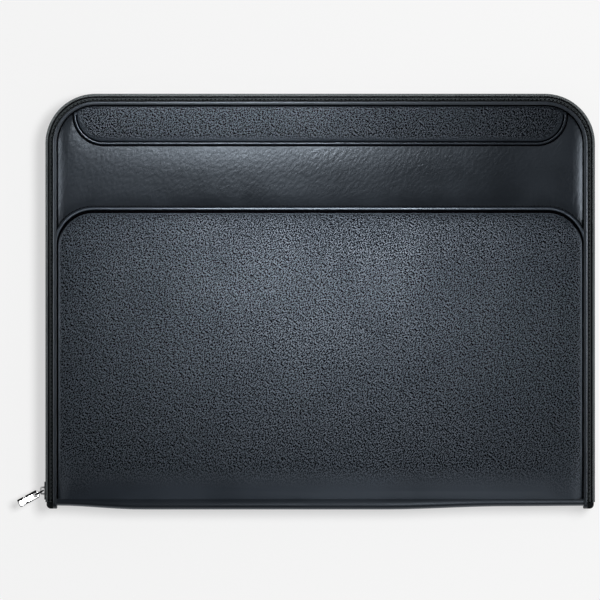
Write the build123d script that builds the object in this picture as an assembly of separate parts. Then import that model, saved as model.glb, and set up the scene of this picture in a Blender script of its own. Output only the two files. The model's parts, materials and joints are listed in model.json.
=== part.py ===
"""Zippered padfolio for a letter-size writing pad, closed and lying on its back cover.

Millimetres. +X runs along the spine, +Y from the spine to the opposite edge, +Z up through the
front cover. The origin is the middle of the flat back face. The zip runs round the left, far and
right edges; the spine folds along its two long edges to open the case.
"""
import os
from math import cos, degrees, radians, sin

from build123d import *

# Covers
COVER_W = 328.0
COVER_H = 250.0
CORNER_R = 26.0
LEATHER_T = 1.2
OVERLAY_T = 1.2
FRONT_FOAM_T = 2.0
BACK_FOAM_T = 1.2
BOARD_T = 2.0
LINING_T = 0.6
INNER_SPACE = 16.6
FOLD_R = 6.0
FOLD_GAP = 0.3
BINDING_W = 2.2
BINDING_PROUD = 0.5
BINDING_BEVEL = 0.7
SEAT = 0.1
SOFT_EDGE = 0.8

# Front decoration: a long panel under the far edge and a large panel below a smooth band
TOP_PANEL_DEPTH = 26.7
TOP_PANEL_HALF_W = 151.2
TOP_PANEL_R = 18.2
TOP_RIM_W = 1.4
TOP_GROOVE_W = 0.9
MAIN_PANEL_DROP = 64.8
MAIN_PANEL_R = 24.5
MAIN_RIM_W = 2.0
MAIN_GROOVE_W = 1.4
GROOVE_DEPTH = 0.6
OVERLAY_EDGE = 0.4

# Zip chain
CHAIN_OUT = 2.9
TAPE_T = 0.7
TAPE_FLANGE = 6.5
TAPE_CREASE_OUT = 0.3
TAPE_WALL = 2.9
TAPE_EDGE = 1.9
TAPE_END_IN = 4.0
TOOTH_PITCH = 3.4
TOOTH_T = 2.4
TOOTH_BASE_W = 2.2
TOOTH_TIP_W = 1.2
TOOTH_REACH = 1.0
TOOTH_GRIP = 0.9
STOP_L = 1.2
STOP_GAP = 0.3
END_TAB_PROUD = 1.1
END_TAB_R = 2.6

# Slider and pull
SLIDER_L = 11.0
SLIDER_CLEAR = 0.3
SLIDER_PLATE_T = 1.0
SLIDER_LIP_W = 1.0
SLIDER_FLARE = 0.5
SLIDER_R = 1.2
WEDGE_IN = 0.5
WEDGE_L = 4.2
WEDGE_HALF_W = 1.2
CROWN_L = 5.0
CROWN_H = 2.7
CROWN_R = 1.3
CROWN_HOLE_R = 0.6
CROWN_W = 2.0
CROWN_T = 1.0
TEETH_START_GAP = 1.5
LINK_WIRE = 1.0
LINK_REACH = 5.3
LINK_SIDE_CLEAR = 0.5
PULL_ANGLE = 28.5
PULL_L = 14.2
PULL_W = 5.0
PULL_CORNER_R = 0.6
PULL_T = 1.4
PULL_EYE_D = 2.2
PULL_NOTCH_D = 1.2
PULL_NOTCH_IN = 5.0

# Writing pad and what holds it
PAD_SIDE_GAP = 24.5
PAD_NEAR_GAP = 22.0
PAD_FAR_GAP = 12.0
PAD_SHIFT = 2.5
PAD_CLEAR = 0.3
BACKING_T = 0.8
SHEETS_T = 3.6
PAD_TAPE_T = 0.3
PAD_TAPE_W = 14.0
PANEL_T = 0.8
INNER_INSET = 7.5
SLEEVE_W = 125.0
SLEEVE_HEM = 4.0
PEN_LOOP_D = 10.0
PEN_LOOP_T = 1.0
PEN_LOOP_L = 22.0
PEN_LOOP_IN = 13.5
PEN_LOOP_GAP = 5.3

# Organiser inside the front cover
POCKET_NEAR_IN = 25.0
POCKET_HEM = 4.0
POCKET_GAP = 0.7
CARD_W = 96.0
CARD_SLOT_T = 0.7
CARD_SLOT_DEPTHS = (62.0, 48.0, 34.0)
CARD_SLOT_R = 4.0
CARD_BOTTOM_X = -40.0
CARD_MIDDLE_Y = 58.0
THUMB_R = 11.0
THUMB_DEPTH = 4.0
WINDOW_W = 88.0
WINDOW_L = 62.0
WINDOW_T = 0.3
FRAME_W = 5.0
FRAME_R = 4.0
WINDOW_MIDDLE_Y = -44.0
TABLET_POCKET_X = (2.0, 146.0)
TABLET_POCKET_Y = (-92.0, 106.0)
TABLET_POCKET_GAP = 0.4

# Levels that follow from the layers
BACK_T = LEATHER_T + BACK_FOAM_T + BOARD_T + LINING_T
FRONT_IN_Z = BACK_T + INNER_SPACE
FRONT_BASE_Z = FRONT_IN_Z + LINING_T + BOARD_T + FRONT_FOAM_T
OVERLAY_Z = FRONT_BASE_Z + LEATHER_T
CASE_T = OVERLAY_Z + OVERLAY_T
CHAIN_Z = CASE_T / 2
SPINE_Y = -COVER_H / 2
FAR_Y = COVER_H / 2
FOLD_Y = SPINE_Y + FOLD_R
PANEL_INSET = BINDING_W + SEAT
PANEL_HALF_W = COVER_W / 2 - PANEL_INSET
TAPE_END_Y = SPINE_Y + TAPE_END_IN


def cover_plan(inset, near_y):
    """A cover's outline, drawn in by inset at its three zipped edges and cut straight at near_y."""
    half_w = COVER_W / 2 - inset
    far_y = FAR_Y - inset
    sheet = Pos(0, (far_y + near_y) / 2) * Rectangle(2 * half_w, far_y - near_y)
    return fillet(sheet.vertices().group_by(Axis.Y)[-1], CORNER_R - inset)


def slab(face, low, thickness):
    """A flat layer of the given thickness whose lower face is at height low."""
    return Pos(0, 0, low) * extrude(face, thickness)


def edge_path(out, near_y):
    """The line round the left, far and right edges, a distance out from the covers' outline."""
    half_w = COVER_W / 2 + out
    far_y = FAR_Y + out
    corners = [(-half_w, near_y), (-half_w, far_y), (half_w, far_y), (half_w, near_y)]
    return FilletPolyline(*corners, radius=CORNER_R + out)


def along_edge(section, near_y):
    """Sweep a section, drawn as distance out and height, round the three zipped edges."""
    start = Plane(origin=(-COVER_W / 2, near_y, 0), x_dir=(-1, 0, 0), z_dir=(0, 1, 0))
    return sweep(start * section, path=edge_path(0, near_y))


def ring_sector(centre, outer, inner, start, turn):
    """A piece of a flat ring, from the angle start through turn degrees."""
    outside = CenterArc(centre, outer, start, turn)
    inside = CenterArc(centre, inner, start, turn)
    ends = [Line(outside @ 1, inside @ 1), Line(inside @ 0, outside @ 0)]
    return make_face([outside, inside] + ends)


def across_spine(section, half_w=PANEL_HALF_W):
    """Extrude a section drawn in Y and Z along the spine, the same length each way."""
    return extrude(Plane.YZ * section, amount=half_w, both=True)


# Spine folds: the leather of each cover turns half of the corner and the spine turns the rest
HALF_FOLD = 45.0 - degrees(FOLD_GAP / 2 / FOLD_R)
BACK_FOLD = (FOLD_Y, FOLD_R)
FRONT_FOLD = (FOLD_Y, CASE_T - FOLD_R)
FOLD_IN_R = FOLD_R - LEATHER_T


def back_cover():
    """The back cover's layers, from the leather that lies on the table to the lining."""
    plan = cover_plan(PANEL_INSET, FOLD_Y)
    fold = across_spine(ring_sector(BACK_FOLD, FOLD_R, FOLD_IN_R, 270, -HALF_FOLD))
    foam_z = LEATHER_T
    board_z = foam_z + BACK_FOAM_T
    lining_z = board_z + BOARD_T
    return {
        "back_panel": slab(plan, 0, LEATHER_T) + fold,
        "back_foam": slab(plan, foam_z, BACK_FOAM_T),
        "back_board": slab(plan, board_z, BOARD_T),
        "back_lining": slab(plan, lining_z, LINING_T),
        "back_binding": binding(0, BACK_T),
    }


def binding(low, high):
    """The leather edging, bevelled all round, along a cover's three zipped edges."""
    height = high - low
    bead = Pos(-BINDING_W / 2, low + height / 2) * Rectangle(BINDING_W, height)
    return along_edge(chamfer(bead.vertices(), BINDING_BEVEL), SPINE_Y)


def rounded_sheet(half_w, low_y, high_y, radius, inset, at_top):
    """A panel's outline drawn in by inset, with its upper or its lower two corners rounded."""
    low = low_y if at_top else low_y + inset
    high = high_y - inset if at_top else high_y
    sheet = Pos(0, (low + high) / 2) * Rectangle(2 * (half_w - inset), high - low)
    corners = sheet.vertices().group_by(Axis.Y)[-1 if at_top else 0]
    return fillet(corners, radius - inset)


def main_sheet(inset):
    """The large panel's outline, with rounded upper corners that run out into the binding."""
    half_w = PANEL_HALF_W + MAIN_RIM_W
    return rounded_sheet(half_w, FOLD_Y, FAR_Y - MAIN_PANEL_DROP, MAIN_PANEL_R, inset, True)


def top_sheet(inset):
    """The long panel's outline under the far edge, with rounded lower corners."""
    low_y = FAR_Y - TOP_PANEL_DEPTH
    return rounded_sheet(TOP_PANEL_HALF_W, low_y, FAR_Y, TOP_PANEL_R, inset, False)


def overlay(sheet, rim, groove):
    """A leather panel laid on the front, with a sewn groove a rim's width inside its edge."""
    plan = cover_plan(PANEL_INSET, FOLD_Y)
    panel = slab(plan & sheet(0), OVERLAY_Z, OVERLAY_T)
    panel = chamfer(panel.edges().group_by(Axis.Z)[-1].filter_by(off_the_fold), OVERLAY_EDGE)
    channel = plan & (sheet(rim) - sheet(rim + groove))
    return panel - slab(channel, CASE_T - GROOVE_DEPTH, GROOVE_DEPTH)


def off_the_fold(edge):
    """True for an edge that doesn't lie along the spine fold."""
    return edge.center().Y > FOLD_Y + SEAT


def front_cover():
    """The front cover's layers, from the lining to the leather panels."""
    plan = cover_plan(PANEL_INSET, FOLD_Y)
    fold = across_spine(ring_sector(FRONT_FOLD, FOLD_R, FOLD_IN_R, 90, HALF_FOLD))
    board_z = FRONT_IN_Z + LINING_T
    foam_z = board_z + BOARD_T
    base = slab(plan, FRONT_BASE_Z, LEATHER_T)
    base = chamfer(base.edges().group_by(Axis.Z)[-1].filter_by(off_the_fold), SOFT_EDGE)
    return {
        "front_lining": slab(plan, FRONT_IN_Z, LINING_T),
        "front_board": slab(plan, board_z, BOARD_T),
        "front_foam": slab(plan, foam_z, FRONT_FOAM_T),
        "front_base_panel": base,
        "front_top_panel": overlay(top_sheet, TOP_RIM_W, TOP_GROOVE_W),
        "front_main_panel": overlay(main_sheet, MAIN_RIM_W, MAIN_GROOVE_W) + fold,
        "front_binding": binding(FRONT_IN_Z, OVERLAY_Z + BINDING_PROUD),
    }


def spine():
    """The spine between the two folds: leather outside, a stiff board and a lining."""
    straight_h = CASE_T - 2 * FOLD_R
    middle_z = CASE_T / 2
    skin = Pos(SPINE_Y + LEATHER_T / 2, middle_z) * Rectangle(LEATHER_T, straight_h)
    low_turn = ring_sector(BACK_FOLD, FOLD_R, FOLD_IN_R, 180, HALF_FOLD)
    high_turn = ring_sector(FRONT_FOLD, FOLD_R, FOLD_IN_R, 180, -HALF_FOLD)
    board_y = SPINE_Y + LEATHER_T + BOARD_T / 2
    lining_y = board_y + BOARD_T / 2 + LINING_T / 2
    return {
        "spine_panel": across_spine(skin) + across_spine(low_turn) + across_spine(high_turn),
        "spine_board": across_spine(Pos(board_y, middle_z) * Rectangle(BOARD_T, straight_h)),
        "spine_lining": across_spine(Pos(lining_y, middle_z) * Rectangle(LINING_T, straight_h)),
    }


# Slider sizes that follow from the teeth it runs on
TOOTH_BASE = TAPE_EDGE + TOOTH_GRIP
SLIDER_CAVITY = TOOTH_T + 2 * SLIDER_CLEAR
LIP_IN = TOOTH_BASE + SLIDER_CLEAR
SLIDER_HALF_H = LIP_IN + SLIDER_LIP_W
LIP_GAP = TAPE_T + 2 * SLIDER_CLEAR
STOP_END_Y = TAPE_END_Y + STOP_L
SLIDER_Y = STOP_END_Y + STOP_GAP
SLIDER_OUT = SLIDER_CAVITY / 2 + SLIDER_PLATE_T
SLIDER_ORIGIN = (-COVER_W / 2 - CHAIN_OUT, SLIDER_Y, CHAIN_Z)
TEETH_START_Y = SLIDER_Y + SLIDER_L + TEETH_START_GAP
CORNER_Y = FAR_Y - CORNER_R
TEETH_END_Y = TAPE_END_Y + STOP_L + TOOTH_BASE_W


def tape(cover_z, side):
    """One woven tape: sewn flat inside a cover's edge, then bent out and along to the chain."""
    wall_out = CHAIN_OUT + TAPE_T / 2
    wall_in = CHAIN_OUT - TAPE_T / 2
    edge_z = CHAIN_Z + side * TAPE_EDGE
    bend_z = edge_z + side * TAPE_WALL
    flange_z = cover_z - side * TAPE_T
    section = Polyline(
        (-TAPE_FLANGE, cover_z),
        (TAPE_CREASE_OUT, cover_z),
        (wall_out, bend_z),
        (wall_out, edge_z),
        (wall_in, edge_z),
        (wall_in, bend_z - side * TAPE_T / 2),
        (TAPE_CREASE_OUT - TAPE_T / 2, flange_z),
        (-TAPE_FLANGE, flange_z),
        close=True,
    )
    return along_edge(make_face(section), TAPE_END_Y)


def tooth(side):
    """One moulded tooth, gripping its tape's edge and tapering past the middle of the chain."""
    base_z = side * TOOTH_BASE
    tip_z = -side * TOOTH_REACH
    profile = Polyline(
        (-TOOTH_BASE_W / 2, base_z),
        (TOOTH_BASE_W / 2, base_z),
        (TOOTH_TIP_W / 2, tip_z),
        (-TOOTH_TIP_W / 2, tip_z),
        close=True,
    )
    return extrude(Plane.XZ * make_face(profile), amount=TOOTH_T / 2, both=True)


def tooth_rows(side):
    """A tape's teeth: those of the slider's straight run, and those of the other edges."""
    path = Wire(edge_path(CHAIN_OUT, TEETH_END_Y).edges())
    run = CORNER_Y - TEETH_END_Y
    first = TEETH_START_Y - TEETH_END_Y + (TOOTH_PITCH / 2 if side > 0 else TOOTH_PITCH)
    one = tooth(side)
    near, far = [], []
    for number in range(int((path.length - first) / TOOTH_PITCH)):
        place = first + number * TOOTH_PITCH
        spot = path.position_at(place, position_mode=PositionMode.LENGTH)
        ahead = path.tangent_at(place, position_mode=PositionMode.LENGTH)
        stand = Plane(origin=(spot.X, spot.Y, CHAIN_Z), x_dir=ahead, z_dir=(0, 0, 1))
        row = near if place < run else far
        row.append(stand.location * one)
    return Compound(children=near), Compound(children=far)


def both_ends(piece):
    """A piece at the left end of the zip and its mirror image at the right end."""
    return Compound(children=[piece, mirror(piece, about=Plane.YZ)])


def stops(side):
    """The two small stops under the edge of one tape, beyond its first and last teeth."""
    height = TAPE_EDGE - STOP_GAP
    middle = (
        -COVER_W / 2 - CHAIN_OUT,
        TAPE_END_Y + STOP_L / 2,
        CHAIN_Z + side * (STOP_GAP + height / 2),
    )
    return both_ends(Pos(*middle) * Box(TOOTH_T, STOP_L, height))


def end_tabs(cover_z, side):
    """Small folded tabs that close the two ends of one tape beside the spine."""
    low = CHAIN_Z + side * STOP_GAP
    high = cover_z - side * TAPE_T
    edge_x = -COVER_W / 2 - SEAT
    outer_x = -COVER_W / 2 - CHAIN_OUT - END_TAB_PROUD
    plan = Pos((edge_x + outer_x) / 2, SPINE_Y + TAPE_END_IN / 2) * Rectangle(edge_x - outer_x, TAPE_END_IN)
    plan = fillet(plan.vertices().sort_by_distance((outer_x, SPINE_Y, 0))[:1], END_TAB_R)
    return both_ends(slab(plan, min(low, high), abs(high - low)))


def zip_half(name, cover_z, side):
    """Everything that one cover carries of the zip; side is +1 for the front and -1 for the back."""
    slider_teeth, other_teeth = tooth_rows(side)
    return {
        f"{name}_zip_tape": tape(cover_z, side),
        f"{name}_teeth_slider_side": slider_teeth,
        f"{name}_teeth_far_sides": other_teeth,
        f"{name}_zip_stops": stops(side),
        f"{name}_zip_end_tabs": end_tabs(cover_z, side),
    }


def slider():
    """The slider: two plates joined by a wedge that parts the teeth, and an arched crown."""
    flat = Plane(origin=SLIDER_ORIGIN, x_dir=(0, 1, 0), z_dir=(-1, 0, 0))
    level = Plane(origin=SLIDER_ORIGIN, x_dir=(0, 1, 0), z_dir=(0, 0, 1))
    wide = SLIDER_HALF_H + SLIDER_FLARE
    shape = Polygon(
        (0, -wide), (SLIDER_L, -SLIDER_HALF_H), (SLIDER_L, SLIDER_HALF_H), (0, wide), align=None
    )
    shape = fillet(shape.vertices(), SLIDER_R)
    lips = shape - Pos(SLIDER_L / 2, 0) * Rectangle(2 * SLIDER_L, 2 * LIP_IN)
    wedge = Polygon(
        (0, 0), (WEDGE_L / 2, -WEDGE_HALF_W), (WEDGE_L, 0), (WEDGE_L / 2, WEDGE_HALF_W), align=None
    )
    body = flat * (Pos(WEDGE_IN, 0, -SLIDER_CAVITY / 2) * extrude(wedge, SLIDER_CAVITY))
    lip_h = (SLIDER_CAVITY - LIP_GAP) / 2
    for way in (1, -1):
        plate_low = SLIDER_CAVITY / 2 if way > 0 else -SLIDER_OUT
        lip_low = LIP_GAP / 2 if way > 0 else -SLIDER_CAVITY / 2
        body += flat * (Pos(0, 0, plate_low) * extrude(shape, SLIDER_PLATE_T))
        body += flat * (Pos(0, 0, lip_low) * extrude(lips, lip_h))
    arch = Pos(SLIDER_L / 2, SLIDER_OUT + CROWN_H / 2) * Rectangle(CROWN_L, CROWN_H)
    arch = fillet(arch.vertices().group_by(Axis.Y)[-1], CROWN_R)
    hole_h = CROWN_H - CROWN_T
    hole = Pos(SLIDER_L / 2, SLIDER_OUT + hole_h / 2) * Rectangle(CROWN_L - 2 * CROWN_T, hole_h)
    hole = fillet(hole.vertices().group_by(Axis.Y)[-1], CROWN_HOLE_R)
    crown = extrude(level * (arch - hole), amount=CROWN_W / 2, both=True)
    return {"slider_body": body, "slider_crown": crown}


# Pull: a wire loop through the crown and a flat tab on the loop
LINK_AT = (SLIDER_L / 2, SLIDER_OUT + (CROWN_H - CROWN_T) / 2)
LINK_HALF_H = CROWN_W / 2 + LINK_SIDE_CLEAR + LINK_WIRE


def pull():
    """The wire loop and the tab, swung out from the slider as it lies in use."""
    pivot = Vector(
        SLIDER_ORIGIN[0] - LINK_AT[1], SLIDER_ORIGIN[1] + LINK_AT[0], CHAIN_Z
    )
    ahead = Vector(-cos(radians(PULL_ANGLE)), -sin(radians(PULL_ANGLE)), 0)
    upright = Plane(origin=pivot, x_dir=ahead, z_dir=ahead.cross(Vector(0, 0, 1)))
    level = Plane(origin=pivot, x_dir=ahead, z_dir=(0, 0, 1))
    length = LINK_REACH + LINK_WIRE
    loop = RectangleRounded(length, 2 * LINK_HALF_H, LINK_WIRE)
    loop -= Rectangle(length - 2 * LINK_WIRE, 2 * (LINK_HALF_H - LINK_WIRE))
    link = extrude(upright * (Pos(LINK_REACH / 2, 0) * loop), amount=LINK_WIRE / 2, both=True)
    tab_end = LINK_REACH + PULL_L - PULL_W / 2
    tab = Pos((LINK_REACH + tab_end) / 2, 0) * Rectangle(tab_end - LINK_REACH, PULL_W)
    tab = fillet(tab.vertices().group_by(Axis.X)[-1], PULL_CORNER_R)
    tab += Pos(LINK_REACH, 0) * Circle(PULL_W / 2)
    tab -= Pos(LINK_REACH, 0) * Circle(PULL_EYE_D / 2)
    notch_x = tab_end - PULL_NOTCH_IN
    for way in (1, -1):
        tab -= Pos(notch_x, way * PULL_W / 2) * Circle(PULL_NOTCH_D / 2)
    plate = extrude(level * tab, amount=PULL_T / 2, both=True)
    return {"pull_link": link, "pull_tab": plate}


# Heights inside the back cover, from the panel under the pad upwards
PAD_PANEL_Z = BACK_T
PAD_FLOOR_Z = PAD_PANEL_Z + PANEL_T
PAD_Z = PAD_FLOOR_Z + PAD_CLEAR
BACKING_Z = PAD_Z + PAD_TAPE_T
SLEEVE_Z = BACKING_Z + BACKING_T + PAD_CLEAR
SHEETS_Z = SLEEVE_Z + PANEL_T + PAD_CLEAR
PAD_TOP_Z = SHEETS_Z + SHEETS_T + PAD_TAPE_T
PAD_HALF_W = COVER_W / 2 - PAD_SIDE_GAP
PAD_X = (-PAD_HALF_W - PAD_SHIFT, PAD_HALF_W - PAD_SHIFT)
PAD_Y = (SPINE_Y + PAD_NEAR_GAP, FAR_Y - PAD_FAR_GAP)


def brick(x, y, z):
    """A box between two values on each axis."""
    sizes = [high - low for low, high in (x, y, z)]
    middle = [(low + high) / 2 for low, high in (x, y, z)]
    return Pos(*middle) * Box(*sizes)


def sewn_pocket(x, y, z, hem, gap):
    """A pocket panel sewn down on three sides by a hem and open towards -X; z is (panel, base)."""
    panel_z, base_z = z
    up = 1 if base_z > panel_z else -1
    panel_in = base_z - up * gap
    panel = brick(x, y, sorted((panel_z, panel_in)))
    tuck = brick((x[0], x[1] - hem), (y[0] + hem, y[1] - hem), sorted((panel_in, base_z)))
    return panel + (brick(x, y, sorted((panel_in, base_z))) - tuck)


def writing_pad():
    """The pad: a card back tucked into its sleeve, the sheets, and the tape over their top edge."""
    backing = brick(PAD_X, PAD_Y, (BACKING_Z, BACKING_Z + BACKING_T))
    sheets = brick(PAD_X, PAD_Y, (SHEETS_Z, SHEETS_Z + SHEETS_T))
    taped_x = (PAD_X[0] - PAD_TAPE_T, PAD_X[0] + PAD_TAPE_W)
    cap = brick(taped_x, PAD_Y, (PAD_Z, PAD_TOP_Z))
    return {
        "pad_backing": backing,
        "pad_sheets": sheets,
        "pad_tape": cap - backing - sheets - brick(
            (PAD_X[0], taped_x[1]), PAD_Y, (BACKING_Z, SHEETS_Z)
        ),
    }


def pad_holder():
    """The inner panel under the pad, the sleeve for the pad's card back, and the pen loop."""
    near_y = FOLD_Y + SEAT
    sleeve_x = (PAD_X[1] + SLEEVE_HEM + PAD_CLEAR - SLEEVE_W, PAD_X[1] + SLEEVE_HEM + PAD_CLEAR)
    reach = SLEEVE_HEM + PAD_CLEAR
    sleeve_y = (PAD_Y[0] - reach, PAD_Y[1] + reach)
    sleeve_z = (SLEEVE_Z + PANEL_T, PAD_FLOOR_Z)
    outer_r = PEN_LOOP_D / 2 + PEN_LOOP_T
    loop_x = sleeve_x[0] - PEN_LOOP_GAP - PEN_LOOP_L / 2
    loop_middle = (SPINE_Y + PEN_LOOP_IN, PAD_FLOOR_Z + outer_r)
    band = Pos(*loop_middle) * (Circle(outer_r) - Circle(PEN_LOOP_D / 2))
    foot = Pos(loop_middle[0], PAD_FLOOR_Z + PEN_LOOP_T / 2) * Rectangle(2 * outer_r, PEN_LOOP_T)
    return {
        "pad_panel": slab(cover_plan(INNER_INSET, near_y), PAD_PANEL_Z, PANEL_T),
        "pad_sleeve": sewn_pocket(sleeve_x, sleeve_y, sleeve_z, SLEEVE_HEM, SLEEVE_Z - PAD_FLOOR_Z),
        "pen_loop": Pos(loop_x, 0, 0) * across_spine(band + foot, PEN_LOOP_L / 2),
    }


def organiser():
    """The pockets inside the front cover: papers, cards, an identity card and a tablet."""
    near_y = SPINE_Y + POCKET_NEAR_IN
    plan = cover_plan(INNER_INSET, near_y)
    hem = plan - cover_plan(INNER_INSET + POCKET_HEM, near_y - POCKET_HEM)
    panel_z = FRONT_IN_Z - POCKET_GAP - PANEL_T
    pieces = {
        "document_pocket": slab(plan, panel_z, PANEL_T) + slab(hem, panel_z + PANEL_T, POCKET_GAP)
    }
    for number, depth in enumerate(CARD_SLOT_DEPTHS, start=1):
        slot = Pos(CARD_BOTTOM_X - depth / 2, CARD_MIDDLE_Y) * RectangleRounded(depth, CARD_W, CARD_SLOT_R)
        thumb_x = CARD_BOTTOM_X - depth - THUMB_R + THUMB_DEPTH
        slot -= Pos(thumb_x, CARD_MIDDLE_Y) * Circle(THUMB_R)
        pieces[f"card_slot_{number}"] = slab(slot, panel_z - number * CARD_SLOT_T, CARD_SLOT_T)
    window_x = CARD_BOTTOM_X - WINDOW_L / 2
    sheet = Pos(window_x, WINDOW_MIDDLE_Y) * Rectangle(WINDOW_L, WINDOW_W)
    frame = Pos(window_x, WINDOW_MIDDLE_Y) * RectangleRounded(WINDOW_L, WINDOW_W, FRAME_R)
    frame -= Pos(window_x, WINDOW_MIDDLE_Y) * Rectangle(WINDOW_L - 2 * FRAME_W, WINDOW_W - 2 * FRAME_W)
    pieces["id_window"] = slab(sheet, panel_z - WINDOW_T, WINDOW_T)
    pieces["id_window_frame"] = slab(frame, panel_z - WINDOW_T - PANEL_T, PANEL_T)
    tablet_z = (panel_z - TABLET_POCKET_GAP - PANEL_T, panel_z)
    pieces["tablet_pocket"] = sewn_pocket(
        TABLET_POCKET_X, TABLET_POCKET_Y, tablet_z, POCKET_HEM, TABLET_POCKET_GAP
    )
    return pieces


def padfolio():
    """Every piece by name."""
    return {
        **back_cover(),
        **pad_holder(),
        **zip_half("back", BACK_T, -1),
        **spine(),
        **front_cover(),
        **organiser(),
        **zip_half("front", FRONT_IN_Z, 1),
        **slider(),
        **pull(),
        **writing_pad(),
    }


os.makedirs("parts", exist_ok=True)
for node, piece in padfolio().items():
    export_step(piece, f"parts/{node}.step")
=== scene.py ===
"""Looks of a zippered padfolio: grained and smooth leather, sewn seams, a zip chain and a fitted inside."""
import json
import logging
from dataclasses import dataclass
from enum import Enum
from math import ceil, cos, hypot, pi, radians, sin, sqrt
from typing import Callable, ClassVar, Dict, List, Sequence, Tuple

import bmesh
import bpy
from mathutils import Matrix, Vector, noise
from mathutils.geometry import delaunay_2d_cdt

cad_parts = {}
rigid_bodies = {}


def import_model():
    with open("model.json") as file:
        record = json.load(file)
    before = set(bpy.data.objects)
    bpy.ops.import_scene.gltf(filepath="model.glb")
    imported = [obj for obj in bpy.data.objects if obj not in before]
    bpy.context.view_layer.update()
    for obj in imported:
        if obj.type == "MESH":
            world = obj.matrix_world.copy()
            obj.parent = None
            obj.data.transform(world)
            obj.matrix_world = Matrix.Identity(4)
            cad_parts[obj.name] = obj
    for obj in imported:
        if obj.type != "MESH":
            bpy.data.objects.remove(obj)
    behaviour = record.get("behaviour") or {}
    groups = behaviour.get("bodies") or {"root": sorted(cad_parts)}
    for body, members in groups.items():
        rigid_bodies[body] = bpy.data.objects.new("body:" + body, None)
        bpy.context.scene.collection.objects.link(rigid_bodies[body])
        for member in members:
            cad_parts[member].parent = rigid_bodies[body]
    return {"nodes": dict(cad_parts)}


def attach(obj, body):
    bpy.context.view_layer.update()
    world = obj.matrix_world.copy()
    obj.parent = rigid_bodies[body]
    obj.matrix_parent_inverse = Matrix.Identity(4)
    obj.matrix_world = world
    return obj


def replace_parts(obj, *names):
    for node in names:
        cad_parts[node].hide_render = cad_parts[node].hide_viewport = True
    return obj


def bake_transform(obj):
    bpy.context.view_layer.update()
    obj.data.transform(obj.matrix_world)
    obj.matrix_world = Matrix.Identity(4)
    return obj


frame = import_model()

LOG = logging.getLogger("padfolio")
MM = 0.001
SMOOTH_ANGLE = 0.8
FILL_GAP = 1e-4

Point2 = Tuple[float, float]
Point3 = Tuple[float, float, float]
Colour = Tuple[float, float, float]
Height = Callable[[float, float], float]
Inside = Callable[[float, float], bool]
Steps = Sequence[Tuple[float, float]]
Span = Tuple[float, float, float]


class Body(Enum):
    """The moving bodies that the pieces made here ride on."""

    BACK = "back_cover"
    SPINE = "spine"
    FRONT = "front_cover"
    TAB = "pull_tab"


class Slot(Enum):
    """The material slots of the record."""

    GRAINED = "grained_leather"
    SMOOTH = "smooth_leather"
    EDGE = "edge_leather"
    INNER = "inner_leather"
    LINING = "lining_cloth"
    BOARD = "card_board"
    TAPE = "zip_tape"
    TEETH = "zip_teeth"
    METAL = "plated_metal"
    WINDOW = "clear_window"
    ELASTIC = "elastic"
    CARD = "card_back"
    PAPER = "paper"
    PAPER_TAPE = "paper_tape"


class Filling(Enum):
    """What the filling of flat lines gives: the whole hull in triangles, or the closed shapes as drawn."""

    HULL = 0
    SHAPES = 2


class Lit(Enum):
    """Whether a group of lamps lights only the named pieces, or all but those."""

    ONLY = "INCLUDE"
    ALL_BUT = "EXCLUDE"


def solid(colour: Colour) -> Tuple[float, float, float, float]:
    """A colour that lets nothing through."""
    return (*colour, 1.0)


class Graph:
    """A small wrapper that adds and links shader nodes."""

    MIX_SHARE = 0
    MIX_FIRST = 6
    MIX_SECOND = 7
    MIX_RESULT = 2

    def __init__(self, tree: bpy.types.NodeTree) -> None:
        """Start on an empty node tree."""
        self.tree = tree
        tree.nodes.clear()

    def add(self, kind: str, inputs: Dict[str, object] | None = None, **settings: object) -> bpy.types.Node:
        """Add a node.

        Args:
            kind: The node's type name without the shader prefix.
            inputs: Values or sockets for the named inputs.
            settings: Plain settings of the node.

        Returns:
            The new node.
        """
        name = kind if kind.startswith("Node") else f"ShaderNode{kind}"
        node = self.tree.nodes.new(name)
        for key, value in settings.items():
            setattr(node, key, value)
        for key, value in (inputs or {}).items():
            self.put(node.inputs[key], value)
        return node

    def put(self, socket: bpy.types.NodeSocket, value: object) -> None:
        """Set an input to a value, or link a socket to it.

        Args:
            socket: The input.
            value: A plain value or an output socket.
        """
        if isinstance(value, bpy.types.NodeSocket):
            self.tree.links.new(value, socket)
        else:
            socket.default_value = value

    def math(self, operation: str, first: object, second: object) -> bpy.types.NodeSocket:
        """Add a math node.

        Args:
            operation: The operation's name.
            first: The first value or socket.
            second: The second value or socket.

        Returns:
            The result's socket.
        """
        node = self.add("Math", operation=operation)
        self.put(node.inputs[0], first)
        self.put(node.inputs[1], second)
        return node.outputs[0]

    def mix(self, share: object, first: object, second: object) -> bpy.types.NodeSocket:
        """Mix two colours.

        Args:
            share: The second colour's share.
            first: The first colour or socket.
            second: The second colour or socket.

        Returns:
            The result's socket.
        """
        node = self.add("Mix", data_type="RGBA")
        self.put(node.inputs[self.MIX_SHARE], share)
        self.put(node.inputs[self.MIX_FIRST], first)
        self.put(node.inputs[self.MIX_SECOND], second)
        return node.outputs[self.MIX_RESULT]

    def ramp(self, value: object, low: Point2, high: Point2) -> bpy.types.NodeSocket:
        """Map a value smoothly from one range to another.

        Args:
            value: The value's socket.
            low: The start of the range read and the result there.
            high: The end of the range read and the result there.

        Returns:
            The result's socket.
        """
        ends = {"From Min": low[0], "From Max": high[0], "To Min": low[1], "To Max": high[1]}
        node = self.add("MapRange", {"Value": value, **ends}, interpolation_type="SMOOTHSTEP")
        return node.outputs["Result"]


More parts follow.
